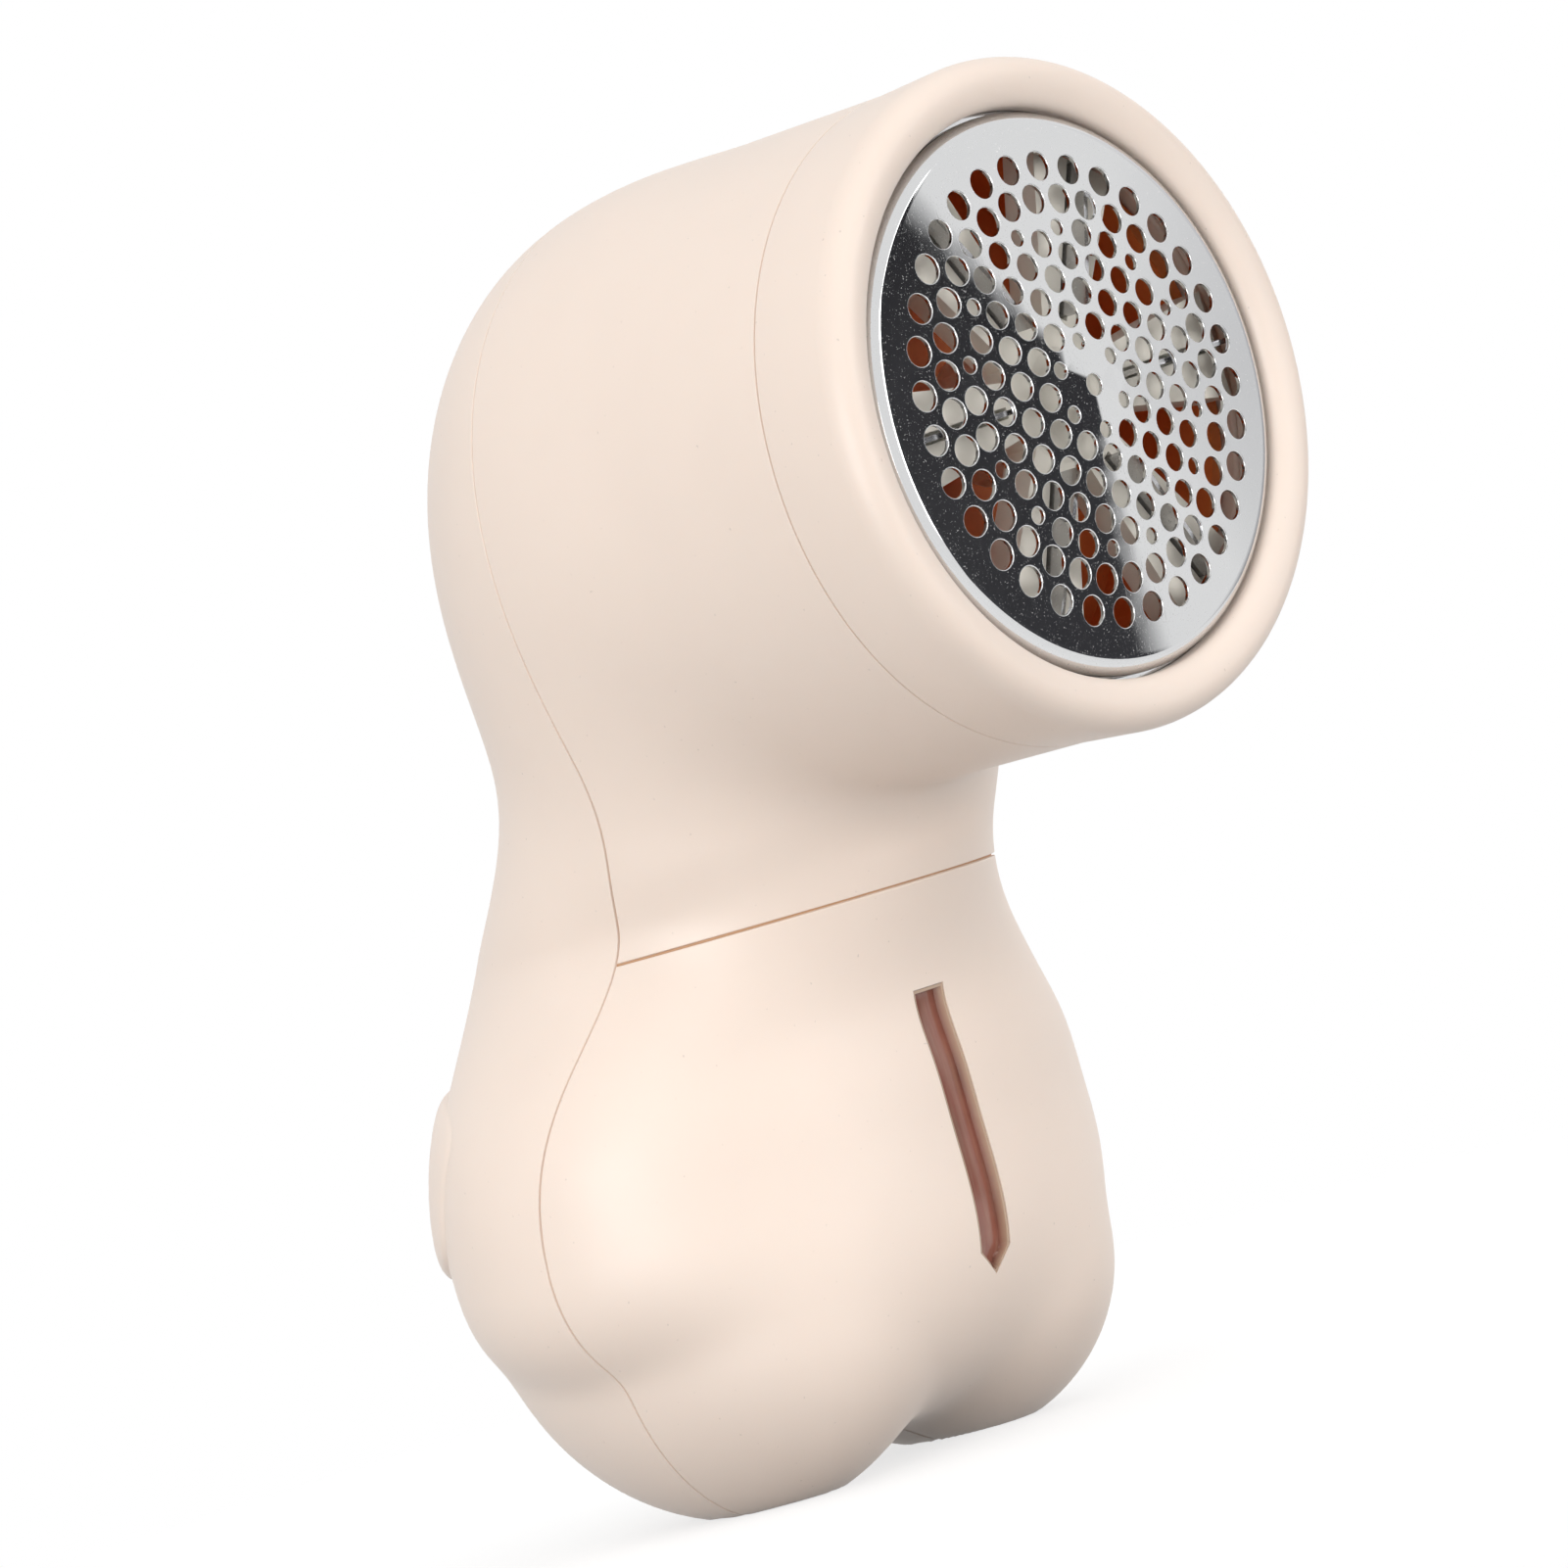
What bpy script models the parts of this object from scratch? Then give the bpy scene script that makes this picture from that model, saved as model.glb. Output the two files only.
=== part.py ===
"""Hand-held fabric shaver with a paw-shaped handle, built piece by piece.

Lengths are in metres and +Z is up. The shaver stands on its two lower toes at
z = 0, the perforated shaving foil faces -Y, and the plane x = 0 is its plane of
symmetry. Sizes along the head axis are written as distances ahead of y = 0.
"""

import math

import bmesh
import bpy
import numpy as np
from mathutils import Vector
from mathutils.geometry import delaunay_2d_cdt

# Gaps and walls
SEAM_GAP = 0.0003
FIT_GAP = 0.0004
WALL = 0.0020

# Housing skin: barrel and elbow, with reaches measured from the elbow's pivot
HEAD_AXIS_Z = 0.0955
BARREL_RADIUS = 0.0320
CAP_SEAM_AHEAD = 0.0364
ELBOW_Y = -0.0182
NECK_FILLET = 0.0050
CROWN_REACH = 0.0722
DOME_REACH = 0.0641
NAPE_REACH = 0.0517
NECK_REACH = 0.0595
NECK_FLARE = 0.0480
CROWN_HALF_WIDTH = 0.0322
DOME_HALF_WIDTH = 0.0295
NAPE_HALF_WIDTH = 0.0264
NECK_HALF_WIDTH = 0.0256
NECK_TAPER = -0.0046

# Housing skin: handle and paw
GRIP_FRONT_Y = -0.0077
GRIP_BACK_Y = 0.0454
GRIP_HALF_WIDTH = 0.0339
PAW_Z = 0.0303
PAW_FRONT_Y = -0.0077
PAW_BACK_Y = 0.0478
PAW_HALF_WIDTH = 0.0374
PAW_DEPTH = 0.0218
PAW_ROUND = 0.85
TOE_X = 0.0120
TOE_Y = 0.0192
TOE_Z = 0.0178
TOE_HALF_WIDTH = 0.0186
TOE_HALF_LENGTH = 0.0227
TOE_HALF_HEIGHT = 0.0186
TOE_BLEND = 40

# Where the housing parts
PARTING_LOW_Z = 0.0260
PARTING_LOW_Y = 0.0161
PARTING_HIGH_Z = 0.0750
PARTING_HIGH_Y = 0.0031
NECK_SEAM_Z = 0.0550

# Facets: steps around, along the elbow, down the handle and down the paw
OUTER_FACETS = (36, 12, 6, 8)
INNER_FACETS = (24, 8, 4, 6)
TURNED_STEPS = 32

# Guard ring, foil and its retainer
GUARD_DEPTH = 0.0115
GUARD_RADIUS = 0.0325
GUARD_CREST_RADIUS = 0.0302
GUARD_FILLET = 0.0030
GUARD_LIP_DROP = 0.0019
COLLAR_RADIUS = 0.0294
COLLAR_WALL = 0.0016
COLLAR_LENGTH = 0.0050
COLLAR_ROOT = 0.0024
FOIL_RADIUS = 0.0271
FOIL_SETBACK = 0.0009
FOIL_RISE = 0.0023
FOIL_SHEET = 0.0004
FOIL_CORNER = 0.0006
FOIL_SKIRT = 0.0026
FOIL_FLANGE = 0.0014
RETAINER_DEPTH = 0.0014
RETAINER_LAP = 0.0024

# Holes of the foil: a six-sided field inside two rings
HOLE_PITCH = 0.0035
HOLE_DIAMETER = 0.0027
PIN_HOLE_DIAMETER = 0.0016
EYE_HOLE_DIAMETER = 0.0021
EYE_RING_RADIUS = 0.0043
PIN_RING_RADIUS = 0.0154
FIELD_TURN = math.radians(32.0)
RING_HOLES = 32
RING_HOLE_DIAMETER = 0.0029
INNER_RING_RADIUS = 0.0182
OUTER_RING_RADIUS = 0.0214
HOLE_SIDES = 7
PIN_HOLE_SIDES = 6
FOIL_SIDES = 48

# Cutter
BLADE_COUNT = 6
BLADE_SHEET = 0.0005
BLADE_INNER_RADIUS = 0.0080
BLADE_OUTER_RADIUS = 0.0236
BLADE_CLEARANCE = 0.0005
BLADE_SEAT = 0.0018
CARRIER_RADIUS = 0.0245
CARRIER_TURN = math.radians(3.0)
CARRIER_LEAD = 0.0041
CARRIER_DEPTH = 0.0040
ARM_ROOT_WIDTH = 0.0052
ARM_TIP_WIDTH = 0.0105
HUB_RADIUS = 0.0065
HUB_TAIL = 0.0065
HUB_DEPTH = 0.0112

# Cutting chamber
CHAMBER_RADIUS = 0.0274
CHAMBER_WALL = 0.0015
CHAMBER_FLOOR = 0.0018
CHAMBER_SINK = 0.0089
CHAMBER_LIP_GAP = 0.0005
CHAMBER_FLANGE = 0.0015
CHAMBER_FLANGE_LAP = 0.0022
OUTLET_HALF_WIDTH = 0.0100
OUTLET_HEIGHT = 0.0085

# Motor
MOTOR_RADIUS = 0.0120
MOTOR_LENGTH = 0.0284
MOTOR_SHEET = 0.0012
MOTOR_BOSS_RADIUS = 0.0032
MOTOR_BOSS = 0.0015
MOTOR_CAP_DEPTH = 0.0047
SHAFT_RADIUS = 0.0010
SHAFT_REACH = 0.0025
CORE_RADIUS = 0.0072
CORE_LENGTH = 0.0130
CORE_SETBACK = 0.0060
MOTOR_SCREW_X = 0.0080

# Inner frame
FRAME_SETBACK = 0.00045
FRAME_SHEET = 0.0016
FRAME_LOW_Z = 0.0060
SHELF_DROP = 0.0150

# Screws
SCREW_RADIUS = 0.0010
SCREW_HEAD_RADIUS = 0.0019
SCREW_HEAD = 0.0012
SCREW_LENGTH = 0.0060
BOARD_SCREW_LENGTH = 0.0042
SCREW_STEPS = 10
BOSS_RADIUS = 0.0028
FRAME_SCREW_X = 0.0200
FRAME_SCREW_Z = 0.0220

# Battery, circuit board, charging socket and switch
CELL_RADIUS = 0.00915
CELL_LENGTH = 0.0335
CELL_Z = 0.0140
CELL_CAP_RADIUS = 0.0032
CELL_CAP = 0.0010
BOARD_GAP = 0.0008
BOARD_SHEET = 0.0016
BOARD_LOW_Z = 0.0170
BOARD_SHOULDER_Z = 0.0465
BOARD_TOP_Z = 0.0535
BOARD_HALF_WIDTH = 0.0110
BOARD_NECK_HALF_WIDTH = 0.0050
BOARD_SCREW_X = 0.0080
BOARD_SCREW_LOW_Z = 0.0220
BOARD_SCREW_TOP_Z = 0.0508
SOCKET_Z = 0.0215
SOCKET_WIDTH = 0.0090
SOCKET_HEIGHT = 0.0032
SOCKET_SHEET = 0.0003
SOCKET_TONGUE_WIDTH = 0.0066
SOCKET_TONGUE = 0.0007
SOCKET_BASE = 0.0012
SWITCH_SIDE = 0.0070
SWITCH_DEPTH = 0.0026
PLUNGER_RADIUS = 0.0016
PLUNGER_GAP = 0.0008
LEAD_RADIUS = 0.0006
LEAD_STRAIGHT = 0.0035
MOTOR_LEAD_X = 0.0090
MOTOR_LEAD_RUN = 0.0070
MOTOR_LEAD_FALL = ((0.0200, 0.0760), (0.0250, 0.0660))
MOTOR_LEAD_PAD_X = 0.0038
MOTOR_LEAD_PAD_Z = 0.0520
CELL_LEAD_X = 0.0050
CELL_LEAD_RISE = 0.0030
CELL_LEAD_RUN = 0.0066
CELL_LEAD_PAD_X = 0.0076
CELL_LEAD_PAD_Z = 0.0440

# Power button: a wide pad on the back of the handle
BUTTON_Z = 0.0376
BUTTON_HALF_WIDTH = 0.0335
BUTTON_HALF_HEIGHT = 0.0100
BUTTON_SQUARE = 3.6
BUTTON_PROUD = 0.0014
BUTTON_THICKNESS = 0.0035
BUTTON_TRAVEL = 0.0010
BUTTON_SIDES = 36

# Lint bin window
WINDOW_HALF_WIDTH = 0.0022
WINDOW_TOP_Z = 0.0446
WINDOW_TIP_Z = 0.0160
WINDOW_TIP = 0.0024

# Reach of the cutters past the housing
BEYOND = 0.0100

# Finishes: colour, roughness, metallic value
CREAM = ((0.87, 0.76, 0.68, 1.0), 0.45, 0.0)
CREAM_INNER = ((0.80, 0.74, 0.66, 1.0), 0.50, 0.0)
RUST = ((0.33, 0.085, 0.022, 1.0), 0.45, 0.0)
STEEL = ((0.62, 0.62, 0.63, 1.0), 0.18, 1.0)
DARK_STEEL = ((0.30, 0.30, 0.31, 1.0), 0.35, 1.0)
BLACK = ((0.02, 0.02, 0.022, 1.0), 0.50, 0.0)
CLEAR = ((0.62, 0.42, 0.34, 0.45), 0.10, 0.0)
BOARD_GREEN = ((0.02, 0.16, 0.07, 1.0), 0.45, 0.0)
CELL_BLUE = ((0.05, 0.16, 0.42, 1.0), 0.40, 0.0)
LEAD_RED = ((0.55, 0.03, 0.02, 1.0), 0.45, 0.0)

# Places that follow from the sizes above
NECK_Z = HEAD_AXIS_Z - BARREL_RADIUS - NECK_FILLET
PAW_CENTRE_Y = (PAW_FRONT_Y + PAW_BACK_Y) / 2
PAW_HALF_DEPTH = (PAW_BACK_Y - PAW_FRONT_Y) / 2
GUARD_CREST_AHEAD = CAP_SEAM_AHEAD + GUARD_DEPTH
FOIL_RIM_AHEAD = GUARD_CREST_AHEAD - FOIL_SETBACK
FOIL_FLANGE_AHEAD = FOIL_RIM_AHEAD - FOIL_SKIRT
CARRIER_AHEAD = CAP_SEAM_AHEAD + CARRIER_LEAD
HUB_AHEAD = CARRIER_AHEAD - HUB_TAIL
SHAFT_END_AHEAD = CARRIER_AHEAD + SHAFT_REACH
CHAMBER_LIP_AHEAD = CARRIER_AHEAD - CHAMBER_LIP_GAP
CHAMBER_FLOOR_AHEAD = CAP_SEAM_AHEAD - CHAMBER_SINK
CHAMBER_BACK_AHEAD = CHAMBER_FLOOR_AHEAD - CHAMBER_FLOOR
MOTOR_FACE_AHEAD = CHAMBER_BACK_AHEAD - SEAM_GAP
MOTOR_BACK_AHEAD = MOTOR_FACE_AHEAD - MOTOR_LENGTH
CORE_AHEAD = MOTOR_BACK_AHEAD + CORE_SETBACK
CELL_Y = PARTING_LOW_Y + FRAME_SETBACK + FRAME_SHEET + SEAM_GAP + CELL_RADIUS
BOARD_Y = CELL_Y + CELL_RADIUS + BOARD_GAP
BOARD_BACK_Y = BOARD_Y + BOARD_SHEET
BOARD_SCREW_SEAT_Y = BOARD_Y - SEAM_GAP


def clear_scene():
    """Remove every object, so that the script can be run again."""
    for item in list(bpy.data.objects):
        bpy.data.objects.remove(item, do_unlink=True)


def collection(name):
    """Return a fresh collection linked to the scene."""
    group = bpy.data.collections.new(name)
    bpy.context.scene.collection.children.link(group)
    return group


clear_scene()
PARTS = collection("fabric_shaver")
CUTTERS = collection("cutters")


def material(name, finish):
    """Return a Principled material with a colour, a roughness and a metallic value."""
    colour, roughness, metallic = finish
    shade = bpy.data.materials.new(name)
    shade.use_nodes = True
    shader = shade.node_tree.nodes["Principled BSDF"]
    shader.inputs["Base Color"].default_value = colour
    shader.inputs["Roughness"].default_value = roughness
    shader.inputs["Metallic"].default_value = metallic
    shader.inputs["Alpha"].default_value = colour[3]
    return shade


def add_object(name, mesh, finish=None):
    """Link a mesh as a part, or as a hidden cutter when it has no finish."""
    item = bpy.data.objects.new(name, mesh)
    if finish is None:
        CUTTERS.objects.link(item)
        item.hide_render = True
        item.display_type = "WIRE"
    else:
        PARTS.objects.link(item)
        item.data.materials.append(material(name, finish))
    return item


def finish_mesh(name, bm):
    """Turn a bmesh into a mesh whose faces point outwards."""
    bmesh.ops.recalc_face_normals(bm, faces=bm.faces)
    mesh = bpy.data.meshes.new(name)
    bm.to_mesh(mesh)
    bm.free()
    return mesh


def cut(item, tool, operation="DIFFERENCE"):
    """Add an exact Boolean of the item with the tool."""
    step = item.modifiers.new(operation.lower(), "BOOLEAN")
    step.operation = operation
    step.solver = "EXACT"
    step.object = tool


def axis_empty(name, place):
    """Return an empty on the axis that a moving piece follows."""
    marker = bpy.data.objects.new(name, None)
    marker.location = place
    PARTS.objects.link(marker)
    return marker


def hang_on(marker, *items):
    """Parent pieces to an empty and leave them where they are."""
    bpy.context.view_layer.update()
    for item in items:
        item.parent = marker
        item.matrix_parent_inverse = marker.matrix_world.inverted()


def clamped_spline(knots, values, first_slope, last_slope):
    """Return the cubic spline through the knots that has the given end slopes."""
    x = np.array(knots, float)
    y = np.array(values, float)
    span = np.diff(x)
    chord = np.diff(y) / span
    system = np.eye(len(x))
    right = np.zeros(len(x))
    right[0] = first_slope
    right[-1] = last_slope
    for i in range(1, len(x) - 1):
        system[i, i - 1:i + 2] = (span[i], 2 * (span[i - 1] + span[i]), span[i - 1])
        right[i] = 3 * (span[i] * chord[i - 1] + span[i - 1] * chord[i])
    slope = np.linalg.solve(system, right)

    def value(at):
        at = np.asarray(at, float)
        i = np.clip(np.searchsorted(x, at, side="right") - 1, 0, len(span) - 1)
        t = (at - x[i]) / span[i]
        rise = slope[i] * t * (1 - t) ** 2 - slope[i + 1] * t ** 2 * (1 - t)
        return y[i] * (1 + 2 * t) * (1 - t) ** 2 + y[i + 1] * t ** 2 * (3 - 2 * t) + span[i] * rise

    return value


# Outlines of the elbow, by angle about its pivot, and of the handle, by height
ELBOW_ANGLES = np.linspace(0.0, math.pi / 2, 5)
elbow_reach = clamped_spline(
    ELBOW_ANGLES,
    (2 * BARREL_RADIUS + NECK_FILLET, CROWN_REACH, DOME_REACH, NAPE_REACH, NECK_REACH),
    0.0,
    NECK_FLARE,
)
elbow_half_width = clamped_spline(
    ELBOW_ANGLES,
    (BARREL_RADIUS, CROWN_HALF_WIDTH, DOME_HALF_WIDTH, NAPE_HALF_WIDTH, NECK_HALF_WIDTH),
    0.0,
    NECK_TAPER,
)
HANDLE_LEVELS = (PAW_Z, (PAW_Z + NECK_Z) / 2, NECK_Z)
handle_front = clamped_spline(
    HANDLE_LEVELS, (PAW_FRONT_Y, GRIP_FRONT_Y, ELBOW_Y + NECK_FILLET), 0.0, 0.0
)
handle_back = clamped_spline(
    HANDLE_LEVELS, (PAW_BACK_Y, GRIP_BACK_Y, ELBOW_Y + NECK_REACH), 0.0, -NECK_FLARE / NECK_REACH
)
handle_half_width = clamped_spline(
    HANDLE_LEVELS,
    (PAW_HALF_WIDTH, GRIP_HALF_WIDTH, NECK_HALF_WIDTH),
    0.0,
    -2 * NECK_TAPER / (NECK_REACH + NECK_FILLET),
)


def toe_swell(origin, rays):
    """Return how far each ray stretches where the toes stand out of the paw.

    A ray of length 1 ends on the plain skin. The skin and the two toe
    ellipsoids are joined by a power mean, which rounds the grooves.
    """
    total = np.ones(rays.shape[:-1])
    axes = np.array((TOE_HALF_WIDTH, TOE_HALF_LENGTH, TOE_HALF_HEIGHT))
    for side in (-1, 1):
        start = (origin - np.array((side * TOE_X, TOE_Y, TOE_Z))) / axes
        ray = rays / axes
        a = (ray * ray).sum(-1)
        b = (ray * start).sum(-1)
        c = (start * start).sum(-1) - 1
        root = np.sqrt(np.maximum(b * b - a * c, 0))
        reach = np.where(b * b > a * c, (root - b) / a, 0)
        total = total + np.maximum(reach, 0) ** TOE_BLEND
    return total ** (1 / TOE_BLEND)


def skin_rings(facets):
    """Return rings of points on the outer skin, from the cap seam to the underside.

    Every ring is an ellipse that starts at the inner or front side. The barrel's
    rings stand upright, the elbow's fan out from the pivot, the handle's lie flat,
    and the paw's run along rays from the middle of its widest level.
    """
    around, elbow_steps, handle_steps, paw_steps = facets
    turn = np.linspace(0, 2 * math.pi, around, endpoint=False)
    across = -np.sin(turn)
    along = -np.cos(turn)
    rings = []
    for y in np.linspace(-CAP_SEAM_AHEAD, ELBOW_Y, 3)[:-1]:
        height = HEAD_AXIS_Z + BARREL_RADIUS * along
        rings.append(np.stack((BARREL_RADIUS * across, np.full(around, y), height), -1))
    for angle in np.linspace(0, math.pi / 2, elbow_steps + 1):
        reach = float(elbow_reach(angle))
        middle = (reach + NECK_FILLET) / 2 + (reach - NECK_FILLET) / 2 * along
        x = float(elbow_half_width(angle)) * across
        y = ELBOW_Y + middle * math.sin(angle)
        rings.append(np.stack((x, y, NECK_Z + middle * math.cos(angle)), -1))
    for z in np.linspace(NECK_Z, PAW_Z, handle_steps + 1)[1:]:
        front = float(handle_front(z))
        back = float(handle_back(z))
        origin = np.array((0.0, (front + back) / 2, z))
        x = float(handle_half_width(z)) * across
        rays = np.stack((x, (back - front) / 2 * along, np.zeros(around)), -1)
        rings.append(origin + rays * toe_swell(origin, rays)[:, None])
    origin = np.array((0.0, PAW_CENTRE_Y, PAW_Z))
    for dip in np.linspace(0, math.pi / 2, paw_steps + 1)[1:]:
        out = max(math.cos(dip), 0.0) ** PAW_ROUND
        down = np.full(around, -PAW_DEPTH * math.sin(dip) ** PAW_ROUND)
        rays = np.stack((PAW_HALF_WIDTH * out * across, PAW_HALF_DEPTH * out * along, down), -1)
        rings.append(origin + rays * toe_swell(origin, rays)[:, None])
    return np.array(rings)


def inset_rings(rings, depth):
    """Return the rings moved in along the skin's normals, with the mouth run out forwards."""
    step_along = np.gradient(rings, axis=0)
    step_around = np.roll(rings, -1, axis=1) - np.roll(rings, 1, axis=1)
    normal = np.cross(step_around, step_along)
    normal[-1] = (0, 0, -1)
    normal /= np.linalg.norm(normal, axis=-1, keepdims=True)
    moved = rings - normal * depth
    moved[0, :, 1] -= BEYOND
    return moved


def skin_mesh(name, rings):
    """Return the closed mesh of a set of rings, whose last ring is a single point."""
    count, around = rings.shape[:2]
    points = rings[:-1].reshape(-1, 3).tolist() + [rings[-1, 0].tolist()]
    pole = len(points) - 1
    faces = [tuple(range(around - 1, -1, -1))]
    for i in range(count - 2):
        for j in range(around):
            k = (j + 1) % around
            faces.append((i * around + j, i * around + k, (i + 1) * around + k, (i + 1) * around + j))
    last = (count - 2) * around
    faces += [(last + j, last + (j + 1) % around, pole) for j in range(around)]
    mesh = bpy.data.meshes.new(name)
    mesh.from_pydata(points, [], faces)
    mesh.shade_smooth()
    return mesh


def parting_y(z):
    """Return where the housing parts at a height: two planes joined by a smooth S."""
    t = min(max((z - PARTING_LOW_Z) / (PARTING_HIGH_Z - PARTING_LOW_Z), 0.0), 1.0)
    return PARTING_LOW_Y + (PARTING_HIGH_Y - PARTING_LOW_Y) * t * t * (3 - 2 * t)


FRAME_SCREW_SEAT_Y = parting_y(FRAME_SCREW_Z) + FRAME_SETBACK - SEAM_GAP


def parting_line(low, high, shift, steps=12):
    """Return side-view points (y, z) along the parting line, moved back by a shift."""
    bend = np.linspace(PARTING_LOW_Z, PARTING_HIGH_Z, steps + 1)
    levels = [low] + [z for z in bend if low < z < high] + [high]
    return [(parting_y(z) + shift, z) for z in levels]


def side_prism(name, outline, half_width):
    """Return a cutter whose side-view outline (y, z) runs straight across in X."""
    bm = bmesh.new()
    face = bm.faces.new([bm.verts.new((-half_width, y, z)) for y, z in outline])
    grown = bmesh.ops.extrude_face_region(bm, geom=[face])
    moved = [item for item in grown["geom"] if isinstance(item, bmesh.types.BMVert)]
    bmesh.ops.translate(bm, verts=moved, vec=(2 * half_width, 0, 0))
    return add_object(name, finish_mesh(name, bm))


def front_prism(name, outline, low_y, high_y, finish=None):
    """Return a solid whose front-view outline (x, z) runs straight back in Y."""
    bm = bmesh.new()
    face = bm.faces.new([bm.verts.new((x, low_y, z)) for x, z in outline])
    grown = bmesh.ops.extrude_face_region(bm, geom=[face])
    moved = [item for item in grown["geom"] if isinstance(item, bmesh.types.BMVert)]
    bmesh.ops.translate(bm, verts=moved, vec=(0, high_y - low_y, 0))
    return add_object(name, finish_mesh(name, bm), finish)


def box(name, low, high, finish=None):
    """Return a box between two corners."""
    low = Vector(low)
    high = Vector(high)
    bm = bmesh.new()
    bmesh.ops.create_cube(bm, size=1.0)
    bmesh.ops.scale(bm, verts=bm.verts, vec=high - low)
    bmesh.ops.translate(bm, verts=bm.verts, vec=(low + high) / 2)
    return add_object(name, finish_mesh(name, bm), finish)


def rod_along_y(name, x, z, radius, low_y, high_y, steps=SCREW_STEPS):
    """Return a cutter or boss: a cylinder that lies along Y."""
    bm = bmesh.new()
    bmesh.ops.create_cone(
        bm, cap_ends=True, segments=steps, radius1=radius, radius2=radius, depth=high_y - low_y
    )
    mesh = finish_mesh(name, bm)
    item = add_object(name, mesh)
    item.rotation_euler = (math.pi / 2, 0, 0)
    item.location = (x, (low_y + high_y) / 2, z)
    return item


def turned(name, profile, finish=None, closed=True, steps=TURNED_STEPS, place=None):
    """Return a piece turned about the head axis from a profile of (radius, distance ahead).

    The profile runs from the front down the outer side. A closed profile makes a
    ring, and an open one starts and ends on the axis.
    """
    mesh = bpy.data.meshes.new(name)
    edges = [(i, i + 1) for i in range(len(profile) - 1)]
    if closed:
        edges.append((len(profile) - 1, 0))
    mesh.from_pydata([(radius, 0, ahead) for radius, ahead in profile], edges, [])
    item = add_object(name, mesh, finish)
    item.rotation_euler = (math.pi / 2, 0, 0)
    item.location = place or (0, 0, HEAD_AXIS_Z)
    spin = item.modifiers.new("turn", "SCREW")
    spin.axis = "Z"
    spin.steps = steps
    spin.render_steps = steps
    spin.use_merge_vertices = True
    spin.merge_threshold = 0.00001
    spin.use_smooth_shade = True
    return item


def arc(centre, radii, first, last, steps):
    """Return points on an elliptical arc in a profile, with angles in degrees."""
    angles = np.radians(np.linspace(first, last, steps + 1))
    return [(centre[0] + radii[0] * math.cos(a), centre[1] + radii[1] * math.sin(a)) for a in angles]


def skin_object(name, depth=0.0, shift_y=0.0, finish=None):
    """Return the solid inside the skin, inset by a depth and moved along Y."""
    if depth:
        rings = inset_rings(skin_rings(INNER_FACETS), depth)
    else:
        rings = skin_rings(OUTER_FACETS)
    item = add_object(name, skin_mesh(name, rings), finish)
    item.location.y = shift_y
    return item


def paw_back_y(z):
    """Return the Y of the skin's back line at a height below the paw's widest level."""
    share = (PAW_Z - z) / PAW_DEPTH
    out = math.sqrt(1 - share ** (2 / PAW_ROUND)) ** PAW_ROUND
    return PAW_CENTRE_Y + PAW_HALF_DEPTH * out


def boss(name, x, z, front_y, radius=BOSS_RADIUS):
    """Return a screw boss that runs from a front face back into the housing's wall."""
    post = rod_along_y(name, x, z, radius, front_y, PAW_BACK_Y + BEYOND)
    cut(post, WALL_MIDDLE, "INTERSECT")
    return post


def screw(name, x, z, seat_y, length=SCREW_LENGTH):
    """Return a screw that is driven towards +Y, with its head's underside at the seat."""
    profile = [
        (0, SCREW_HEAD),
        (SCREW_HEAD_RADIUS * 0.8, SCREW_HEAD),
        (SCREW_HEAD_RADIUS, 0),
        (SCREW_RADIUS, 0),
        (SCREW_RADIUS, -length),
        (0, -length),
    ]
    return turned(name, profile, DARK_STEEL, False, SCREW_STEPS, (x, seat_y, z))


def screw_hole(name, x, z, seat_y, length=SCREW_LENGTH):
    """Return the cutter that clears a screw's shank."""
    radius = SCREW_RADIUS + SEAM_GAP
    return rod_along_y(name, x, z, radius, seat_y - BEYOND / 10, seat_y + length + SEAM_GAP)


WALL_MIDDLE = skin_object("wall_middle", WALL / 2)
HOLLOW = skin_object("hollow", WALL)


def region(name, low, high, front):
    """Return the side-view region in front of, or behind, the parting line.

    A lower edge at z = 0 cuts the flats that the toes stand on.
    """
    shift = -SEAM_GAP / 2 if front else SEAM_GAP / 2
    far_y = -0.1 if front else 0.1
    line = parting_line(low, high, shift)
    return side_prism(name, line + [(far_y, high), (far_y, low)], 2 * PAW_HALF_WIDTH)


def button_outline(grow):
    """Return the pad's outline: a squarish oval, grown outwards by a distance."""
    points = []
    for i in range(BUTTON_SIDES):
        angle = 2 * math.pi * i / BUTTON_SIDES
        c = math.cos(angle)
        s = math.sin(angle)
        x = math.copysign(abs(c) ** (2 / BUTTON_SQUARE), c) * (BUTTON_HALF_WIDTH + grow)
        z = math.copysign(abs(s) ** (2 / BUTTON_SQUARE), s) * (BUTTON_HALF_HEIGHT + grow)
        points.append((x, BUTTON_Z + z))
    return points


def window_outline(grow):
    """Return the window's outline: a narrow strip with an arrow-shaped lower end."""
    half = WINDOW_HALF_WIDTH + grow
    shoulder = WINDOW_TIP_Z + WINDOW_TIP
    return [
        (-half, WINDOW_TOP_Z + grow),
        (half, WINDOW_TOP_Z + grow),
        (half, shoulder - grow / 2),
        (0, WINDOW_TIP_Z - grow),
        (-half, shoulder - grow / 2),
    ]


def slot_outline(width, height, z, sides=16):
    """Return a slot with round ends, centred on x = 0."""
    radius = height / 2
    points = []
    for i in range(sides):
        angle = 2 * math.pi * (i + 0.5) / sides - math.pi / 2
        shift = math.copysign(width / 2 - radius, math.cos(angle))
        points.append((shift + radius * math.cos(angle), z + radius * math.sin(angle)))
    return points


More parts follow.
